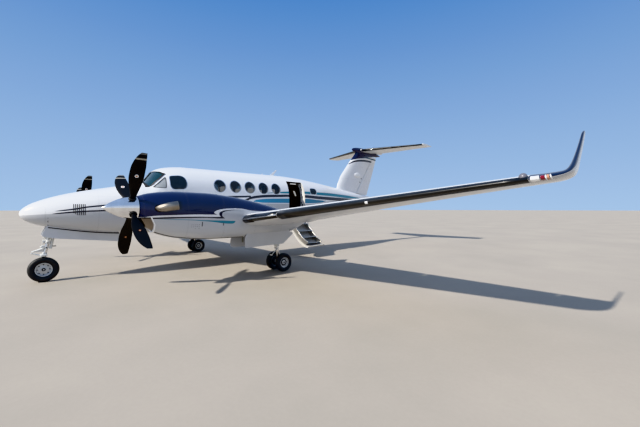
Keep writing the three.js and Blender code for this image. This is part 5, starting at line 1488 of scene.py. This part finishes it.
bevelEdges(noseLeg, 0.002)
fit(noseLeg, "airframe", "gear_metal", "nose_leg")
bm = bmesh.new()
addBar(bm, onLeg(0.45), legFoot, 0.036, segments=40)
fit(makePiece("nose_leg_piston", bm, pistonChrome), "airframe", "gear_metal")
bm = bmesh.new()
addBar(bm, (0.0, aft(505), 0.785), (0.0, aft(605), 0.785), 0.010, segments=16)
for d in (0.375, 0.46, 0.57):
    addBar(bm, onLeg(d, 0.02), onLeg(d, 0.062), 0.012, segments=16)
fit(makePiece("nose_leg_fittings", bm, darkMetal), "airframe", "gear_metal")
lampBody, lampGlass = bmesh.new(), bmesh.new()
for station, height in ((392, 775), (410, 893), (430, 1011)):
    spot = Vector((0, aft(station), height * mm))
    front = Vector((0, -1, 0))
    addSpun(lampBody, [(0, -0.03), (0.02, -0.028), (0.038, -0.005), (0.043, 0.022), (0.045, 0.04), (0.041, 0.04),
                       (0.038, 0.03), (0, 0.03)], spot, front, 40)
    addSpun(lampGlass, [(0, 0.037), (0.02, 0.036), (0.0385, 0.0325), (0.0385, 0.0305), (0, 0.0305)], spot, front, 40)
fit(makePiece("taxi_lamps", lampBody, gearPaint), "airframe", "gear_metal")
fit(makePiece("taxi_lamp_glass", lampGlass, lampWhite), "airframe", "tinted_glass")

# Fork, with its torque links ahead of the leg
crown = legFoot + legWay * 0.08
armX = noseWheel["width"] / 2 + 30
bm = bmesh.new()
addBar(bm, legFoot + legWay * 0.001, crown, 0.04, segments=40)
addBlock(bm, (-(armX + 20) * mm, crown.y - 0.055, 0.570), (0.07, crown.y + 0.055, 0.618), 0.012, 3)
outline = [(crown.y - 0.05, 0.608), (crown.y + 0.05, 0.608), (noseAxle.y + 0.036, 0.29), (noseAxle.y + 0.034, 0.25),
           (noseAxle.y + 0.014, 0.232), (noseAxle.y - 0.014, 0.232), (noseAxle.y - 0.034, 0.25),
           (noseAxle.y - 0.036, 0.29)]
addPlate(bm, [Vector((-(armX + 18) * mm, *point)) for point in outline], (0.036, 0, 0))
fork = makePiece("nose_fork_arms", bm, gearPaint)
bevelEdges(fork, 0.004, 3)
hole = bmesh.new()
addBar(hole, noseAxle - Vector((0.2, 0, 0)), noseAxle + Vector((0.2, 0, 0)), 0.0212, segments=32)
carve(fork, tool(hole))
fit(fork, "nose_fork", "gear_metal", "nose_fork")
bm = bmesh.new()
knee = crown + Vector((0, -0.205, 0.075))
for side in (1, -1):
    addBar(bm, crown + Vector((side * 0.045, -0.05, 0.01)), knee + Vector((side * 0.012, 0, 0)), 0.014, 0.010, 16)
addBar(bm, knee + Vector((-0.03, 0, 0)), knee + Vector((0.03, 0, 0)), 0.013, segments=20)
addPlate(bm, [crown + Vector((0.03, -0.05, 0.016)), crown + Vector((-0.03, -0.05, 0.016)),
              knee + Vector((-0.008, 0.02, -0.002)), knee + Vector((0.008, 0.02, -0.002))], (0, 0, 0.008))
fit(makePiece("nose_torque_link_lower", bm, gearPaint), "nose_fork", "gear_metal")
bm = bmesh.new()
upper = onLeg(0.585, 0, 0.045)
addPlate(bm, [knee + Vector((-0.006, 0.015, 0.02)), upper + Vector((-0.006, 0, 0)), upper + Vector((-0.006, -0.005, -0.075))],
         (0.012, 0, 0))
for side in (1, -1):
    addBar(bm, upper + Vector((side * 0.042, 0, 0)), knee + Vector((side * 0.024, 0.003, 0.03)), 0.013, 0.010, 16)
fit(makePiece("nose_torque_link_upper", bm, gearPaint), "airframe", "gear_metal")


def bellyAt(station):
    return fuselageRow(station)[1]


outline = [(458, bellyAt(458) + 50), (770, bellyAt(770) + 60), (1260, bellyAt(1260) + 50), (1815, bellyAt(1815) + 40),
           (1815, 816), (550, 968), (400, 1008), (352, 1037), (360, 1080), (418, 1212)]
bm = bmesh.new()
fromSide(rounded(outline, 22), 155.7, 169.7, bm)
noseDoor = makePiece("nose_door_panel_port", bm, doorSilver)
bevelEdges(noseDoor, 0.004)
bothSides(noseDoor, "airframe", "silver_paint", "nose_gear_door_port")
bm = bmesh.new()
for station, z0, z1 in ((640, 975, 1200), (1150, 915, 1080), (1700, 850, 1030)):
    addBlock(bm, (0.146, aft(station), z0 * mm), (0.1562, aft(station + 26), z1 * mm), 0.002)
addBlock(bm, (0.148, aft(560), 1.055), (0.1562, aft(1780), 1.08), 0.002)
bothSides(makePiece("nose_door_ribs_port", bm, bayPaint), "airframe", "silver_paint")

# Main gear
mainAxle = Vector((track * mm, aft(4945), 0.235))
offset = 0.2
for name, side in (("outer", 1), ("inner", -1)):
    bm = bmesh.new()
    addTyre(bm, mainWheel, mainAxle + Vector((side * offset, 0, 0)))
    tyre = makePiece("main_tyre_" + name + "_rubber_port", bm, tyreRubber, sharp=50)
    bothSides(tyre, "main_wheels_port", "tyre_rubber", "main_tyre_" + name + "_port")
bm = bmesh.new()
centres = [mainAxle + Vector((side * offset, 0, 0)) for side in (1, -1)]
for side, centre in zip((1, -1), centres):
    addRim(bm, mainWheel, centre, side)
rims = makePiece("main_rims_port", bm, wheelPaint, tyreRubber, darkMetal)
fromAxle = lambda c: math.hypot(c.y - mainAxle.y, c.z - mainAxle.z) / (mainWheel["rim"] * mm)
paintFaces(rims, lambda c, n: fromAxle(c) > 0.92, 1)
# the rim's web between 0.38 and 0.55 of its radius is dark metal, painted shade in its recess
paintFaces(rims, lambda c, n: 0.38 < fromAxle(c) < 0.55, 2)
carve(rims, rimHoles(mainWheel, centres))
bothSides(rims, "main_wheels_port", "wheel_metal", "main_wheels_port")
bm = bmesh.new()
addBar(bm, centres[1], centres[0], 0.0275, segments=32)
for side, centre in zip((1, -1), centres):
    addShadeRing(bm, mainWheel, centre)
    near, far = -side * 0.046, -side * 0.052
    addSpun(bm, [(0.02, near), (0.118, near), (0.118, far), (0.02, far), (0.02, near)], centre, (1, 0, 0), 48)
    addSpun(bm, [(0, side * 0.034), (0.02, side * 0.034), (0.022, side * 0.03), (0.022, side * 0.015), (0, side * 0.015)],
            centre, (1, 0, 0), 32)
bothSides(makePiece("main_axle_port", bm, darkMetal), "main_wheels_port", "gear_metal")

legX = track * mm
mainTop, mainKnee = Vector((legX, aft(4790), 1.29)), Vector((legX, aft(4883), 0.64))
bm = bmesh.new()
addBar(bm, mainTop, mainKnee, 0.06, segments=40)
way = (mainKnee - mainTop).normalized()
for d in (0.1, 0.36, 0.61):
    addBar(bm, mainTop + way * d, mainTop + way * (d + 0.035), 0.067, segments=40)
addBar(bm, mainAxle - Vector((0.1, 0, 0)), mainAxle + Vector((0.1, 0, 0)), 0.058, segments=40)
addBar(bm, mainTop - Vector((0.2847, 0, 0)), mainTop + Vector((0.2847, 0, 0)), 0.038, segments=32)
addBar(bm, (legX, aft(4840), 0.94), (legX, aft(4480), 1.14), 0.03, segments=28)
addBar(bm, (legX, aft(4500), 1.128), (legX, aft(4120), 1.34), 0.022, segments=28)
addBlock(bm, (legX - 0.07, aft(4080), 1.31), (legX + 0.07, aft(4170), 1.3997), 0.008)
for x in (-0.05, 0.05):
    addBar(bm, (legX + x, aft(4860), 0.60), (legX + x * 0.5, aft(4700), 0.43), 0.016, 0.011, 16)
    addBar(bm, (legX + x * 0.5, aft(4700), 0.43), (legX + x, aft(4900), 0.285), 0.011, 0.016, 16)
addBar(bm, (legX - 0.045, aft(4700), 0.43), (legX + 0.045, aft(4700), 0.43), 0.016, segments=20)
addBar(bm, (legX - 0.07, aft(4862), 0.595), (legX + 0.07, aft(4862), 0.595), 0.018, segments=20)
leg = makePiece("main_leg_tube_port", bm, gearPaint)
bevelEdges(leg, 0.002)
hole = bmesh.new()
addBar(hole, mainAxle - Vector((0.2, 0, 0)), mainAxle + Vector((0.2, 0, 0)), 0.0292, segments=32)
carve(leg, tool(hole))
bothSides(leg, "airframe", "gear_metal", "main_leg_port")
bm = bmesh.new()
addBar(bm, mainKnee, mainAxle, 0.04, segments=40)
piston = makePiece("main_piston_port", bm, pistonChrome)
hole = bmesh.new()
addBar(hole, mainAxle - Vector((0.2, 0, 0)), mainAxle + Vector((0.2, 0, 0)), 0.0292, segments=32)
carve(piston, tool(hole))
bothSides(piston, "airframe", "gear_metal")

doorRear = [(4869, 733), (5221, 993), (5072, 1050), (5060, 1120), (3800, 1110)]
doorFronts = {
    "outer": [(3790, 1020), (3759, 968), (3763, 714), (4285, 727)],
    "inner": [(3780, 1000), (3694, 897), (3679, 745), (3715, 700), (3806, 677), (4072, 679), (4500, 706)],
}
for name, side in (("outer", 1), ("inner", -1)):
    outside = track + side * 284.7
    inside = outside - side * 16
    bm = bmesh.new()
    fromSide(rounded(doorFronts[name] + doorRear, 30), min(inside, outside), max(inside, outside), bm)
    panel = makePiece("main_door_" + name + "_port", bm, silverPaint)
    bevelEdges(panel, 0.004)
    bothSides(panel, "airframe", "silver_paint", "main_gear_door_" + name + "_port")
    bm = bmesh.new()
    for station in (4000, 4420, 4840):
        x = [(inside - side * d) * mm for d in (-1, 9)]
        addBlock(bm, (min(x), aft(station), 0.79), (max(x), aft(station + 30), 1.08), 0.002)
    bothSides(makePiece("main_door_ribs_" + name + "_port", bm, bayPaint), "airframe", "silver_paint")
print("landing gear made")


# ---- stair ----

hingeLine = Vector((doorHingeX * mm, 0, door["hinge"] * mm))
letDown = (Matrix.Translation(hingeLine) @ Matrix.Rotation(math.radians(door["angle"]), 4, "Y")
           @ Matrix.Translation(-hingeLine))


def letDoorDown(piece):
    piece.data.transform(letDown)
    piece.data.update()


doorPlaces = spread(door["front"], door["back"], 110)
doorBody = makePiece("stair_door_skin", ovalWall(fuselageRow, doorPlaces, 0, -45), doorPaint, liningTrim)
sector = bmesh.new()
fromFront(doorOutline(door["top"] - door["hinge"], door["hinge"] + 2), door["front"] - 10, door["back"] + 10, sector)
carve(doorBody, tool(sector), operation="INTERSECT")
paintFaces(doorBody, insideCabin, 1)
closedPlace = doorBody.data.attributes.new("closedPlace", "FLOAT_VECTOR", "POINT")
for vert, value in zip(doorBody.data.vertices, closedPlace.data):
    value.vector = vert.co
letDoorDown(doorBody)
fit(doorBody, "airstair", "white_paint", "airstair_door")
bm = bmesh.new()
addBar(bm, (doorHingeX * mm, aft(door["front"]), 1.222), (doorHingeX * mm, aft(7530), 1.222), 0.0118, segments=24)
fit(makePiece("stair_hinge", bm, bareMetal), "airstair", "gear_metal")

stringer = {"inset": 40, "thickness": 30, "depth": 170, "top": 2440}
profile = [(sideHalf(fuselageRow, 7200, z) - door["thickness"] - 1, z) for z in spread(door["hinge"] + 30, 2440, 60)]
inner = [(x - stringer["depth"], z) for x, z in profile]
stringers = bmesh.new()
for station in (door["front"] + 40, door["back"] - 70):
    fromFront(profile + inner[::-1], station, station + 30, stringers)
sideRails = makePiece("stair_stringers", stringers, bareMetal)
bevelEdges(sideRails, 0.003)
treads, pads = bmesh.new(), bmesh.new()
slope = math.tan(math.radians(door["angle"] - 90))
reach = door["thickness"] + stringer["depth"] + 20
for i in range(4):
    z = door["hinge"] + 170 + i * 290
    x = sideHalf(fuselageRow, 7200, z) - door["thickness"] - 1
    inwards = x - (reach - door["thickness"])
    rise = slope * (x - inwards)
    fromFront([(x, z), (x, z + 28), (inwards, z + 28 + rise), (inwards, z + rise)], 6846, 7484, treads)
    fromFront([(x - 6, z + 28.5), (x - 6, z + 33), (inwards + 8, z + 33 + rise * 0.95), (inwards + 8, z + 28.5 + rise * 0.95)],
              6860, 7470, pads)
treadMetal = makePiece("stair_treads", treads, bareMetal)
bevelEdges(treadMetal, 0.004)
treadPads = makePiece("stair_tread_pads", pads, carpet)
for piece in (sideRails, treadMetal, treadPads):
    piece.data.transform(letDown)
fit(sideRails, "airstair", "gear_metal", "airstair_steps")
fit(treadMetal, "airstair", "gear_metal")
fit(treadPads, "airstair", "panel_black")
print("stair made")


# ---- inside ----

def addPad(name, low, high, body="airframe", crown=0.02):
    # a padded block: a subdivided cube with crowned faces and pulled-in sides
    bm = bmesh.new()
    addBlock(bm, low, high)
    low, high = Vector(low), Vector(high)
    middle, size = (low + high) / 2, (high - low) / 2
    bmesh.ops.subdivide_edges(bm, edges=bm.edges, cuts=5, use_grid_fill=True)
    for vert in bm.verts:
        u = Vector(((vert.co.x - middle.x) / size.x, (vert.co.y - middle.y) / size.y, (vert.co.z - middle.z) / size.z))
        away = [max(0.0, 1 - abs(v) ** 3) for v in u]
        for axis in range(3):
            others = [away[k] for k in range(3) if k != axis]
            pull = crown * (1 - min(others[0], others[1]) ** 0.5)
            if abs(u[axis]) > 0.98:
                vert.co[axis] -= math.copysign(pull, u[axis])
    bmesh.ops.smooth_vert(bm, verts=bm.verts, factor=0.4, use_axis_x=True, use_axis_y=True, use_axis_z=True)
    pad = makePiece(name, bm, seatLeather, sharp=180)
    subdivided = pad.modifiers.new("soft", "SUBSURF")
    subdivided.levels = subdivided.render_levels = 1
    fit(pad, body, "seat_leather")
    return pad


def addChair(name, x, station, wide, deep, tall, facing, *nodes):
    x, wide, deep, tall = x * mm, wide * mm, deep * mm, tall * mm
    y, base = aft(station), 1.1955
    front, back = y - facing * deep / 2, y + facing * deep / 2

    def spanOf(a, b):
        return min(a, b), max(a, b)
    c0, c1 = spanOf(front + facing * 0.01, back - facing * 0.10)
    cushion = addPad(name + "_cushion", (x - wide / 2 + 0.055, c0, base + 0.24), (x + wide / 2 - 0.055, c1, base + 0.40))
    b0, b1 = spanOf(back - facing * 0.15, back)
    addPad(name + "_back", (x - wide / 2 + 0.01, b0, base + 0.41), (x + wide / 2 - 0.01, b1, base + tall - 0.17))
    headrest = addPad(name + "_headrest", (x - wide / 2 + 0.07, b0 + 0.01, base + tall - 0.16),
                      (x + wide / 2 - 0.07, b1 - 0.01, base + tall), crown=0.03)
    headrest.data.materials[0] = seatCloth
    a0, a1 = spanOf(front + facing * 0.12, back - facing * 0.16)
    for side in (1, -1):
        addPad(name + ("_arm_outer" if side > 0 else "_arm_inner"), (x + side * (wide / 2 - 0.015) - 0.03, a0, base + 0.48),
               (x + side * (wide / 2 - 0.015) + 0.03, a1, base + 0.56), crown=0.012)
    bm = bmesh.new()
    addBlock(bm, (x - wide * 0.3, y - deep * 0.38, base), (x + wide * 0.3, y + deep * 0.38, base + 0.21), 0.02, 3)
    addBlock(bm, (x - wide / 2 + 0.02, *spanOf(front + facing * 0.03, back)[:1], base + 0.20),
             (x + wide / 2 - 0.02, spanOf(front + facing * 0.03, back)[1], base + 0.245), 0.01, 3)
    for side in (1, -1):
        edge = x + side * (wide / 2 - 0.015)
        addBlock(bm, (edge - 0.02, a0 + 0.02, base + 0.22), (edge + 0.02, a1 - 0.02, base + 0.485), 0.008, 3)
    frameBox = makePiece(name + "_frame", bm, liningTrim)
    fit(frameBox, "airframe", "cabin_trim", *nodes)


for side, x in (("port", 1), ("starboard", -1)):
    addChair("pilot_seat_" + side, x * 330, 3330, 380, 460, 1050, 1, "pilot_seat_" + side)
    for i, (station, facing) in enumerate(((4315, 1), (5290, 1), (6150, 1))):
        addChair("cabin_seat_" + str(i + 1) + "_" + side, x * 395, station, 400, 520, 1120, facing,
                 *(("cabin_seats_" + side,) if i == 0 else ()))
bm = bmesh.new()
for x in (0.415, -0.415):
    addBlock(bm, (x - 0.03, aft(4000), 1.1955), (x + 0.03, aft(6350), 1.22), 0.004)
fit(makePiece("seat_rails", bm, bareMetal), "airframe", "gear_metal")
bm = bmesh.new()
loft(bm, ovalRings(fuselageRow, [8330, 8342], -58))
fit(makePiece("aft_bulkhead", bm, liningTrim), "airframe", "cabin_trim")
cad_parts["cabin_floor"].data.materials.clear()
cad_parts["cabin_floor"].data.materials.append(carpet)
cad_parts["instrument_panel"].data.materials.clear()
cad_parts["instrument_panel"].data.materials.append(panelBlack)
print("cabin furnished")


# ---- floor, light and camera ----

floorLook = {"colour": (0.385, 0.345, 0.295), "size": 400.0}
floorPaint, tree, shader, place = startMaterial("floorPaint")
blotch = addNoise(tree, place, 0.35, 6.0, 0.6)
fine = addNoise(tree, place, 22.0, 3.0)
shade = addMix(tree, addRange(tree, blotch, 0.35, 0.65), (*floorLook["colour"], 1),
               (*[c * 0.90 for c in floorLook["colour"]], 1))
feed(tree, shader.inputs["Base Color"], addMix(tree, addMath(tree, "MULTIPLY", fine, 0.12), shade, (0.2, 0.18, 0.16, 1)))
feed(tree, shader.inputs["Roughness"], addMath(tree, "MULTIPLY_ADD", fine, 0.1, 0.75))
bm = bmesh.new()
bmesh.ops.create_grid(bm, x_segments=2, y_segments=2, size=floorLook["size"])
makePiece("floor", bm, floorPaint)

sunLook = {"way": (0.07, 0.77, -0.63), "strength": 6.2, "spread": 1.5, "colour": (1.0, 0.95, 0.86)}
sun = bpy.data.lights.new("sun", "SUN")
sun.energy, sun.angle, sun.color = sunLook["strength"], math.radians(sunLook["spread"]), sunLook["colour"]
sunObject = bpy.data.objects.new("sun", sun)
sunObject.rotation_euler = Vector(sunLook["way"]).to_track_quat("-Z", "Y").to_euler()
bpy.context.scene.collection.objects.link(sunObject)

# what is seen of the sky is a deeper blue than the light that it gives
skyLook = {"seenLow": (0.43, 0.61, 0.86), "seenHigh": (0.115, 0.28, 0.63), "low": (0.74, 0.80, 0.88),
           "high": (0.34, 0.47, 0.72), "strength": 1.0}
world = bpy.data.worlds.new("sky")
bpy.context.scene.world = world
world.use_nodes = True
tree = world.node_tree
axes = tree.nodes.new("ShaderNodeSeparateXYZ")
feed(tree, axes.inputs[0], tree.nodes.new("ShaderNodeTexCoord").outputs["Generated"])
rise = addRange(tree, axes.outputs[2], -0.02, 0.55)
seen, given = [addMix(tree, rise, (*skyLook[a], 1), (*skyLook[b], 1)) for a, b in (("seenLow", "seenHigh"), ("low", "high"))]
looking = tree.nodes.new("ShaderNodeLightPath").outputs["Is Camera Ray"]
feed(tree, tree.nodes["Background"].inputs["Color"], addMix(tree, looking, given, seen))
tree.nodes["Background"].inputs["Strength"].default_value = skyLook["strength"]

bpy.context.scene.view_settings.view_transform = "Khronos PBR Neutral"

cameraLook = {"place": (9.317, -6.801, 1.631), "turn": (89.137, 0.0, 45.40), "lens": 17.63}
camera = bpy.data.objects.new("camera", bpy.data.cameras.new("camera"))
camera.location = cameraLook["place"]
camera.rotation_euler = [math.radians(angle) for angle in cameraLook["turn"]]
camera.data.lens, camera.data.sensor_width = cameraLook["lens"], 36
bpy.context.scene.collection.objects.link(camera)
bpy.context.scene.camera = camera
print("floor, light and camera set")
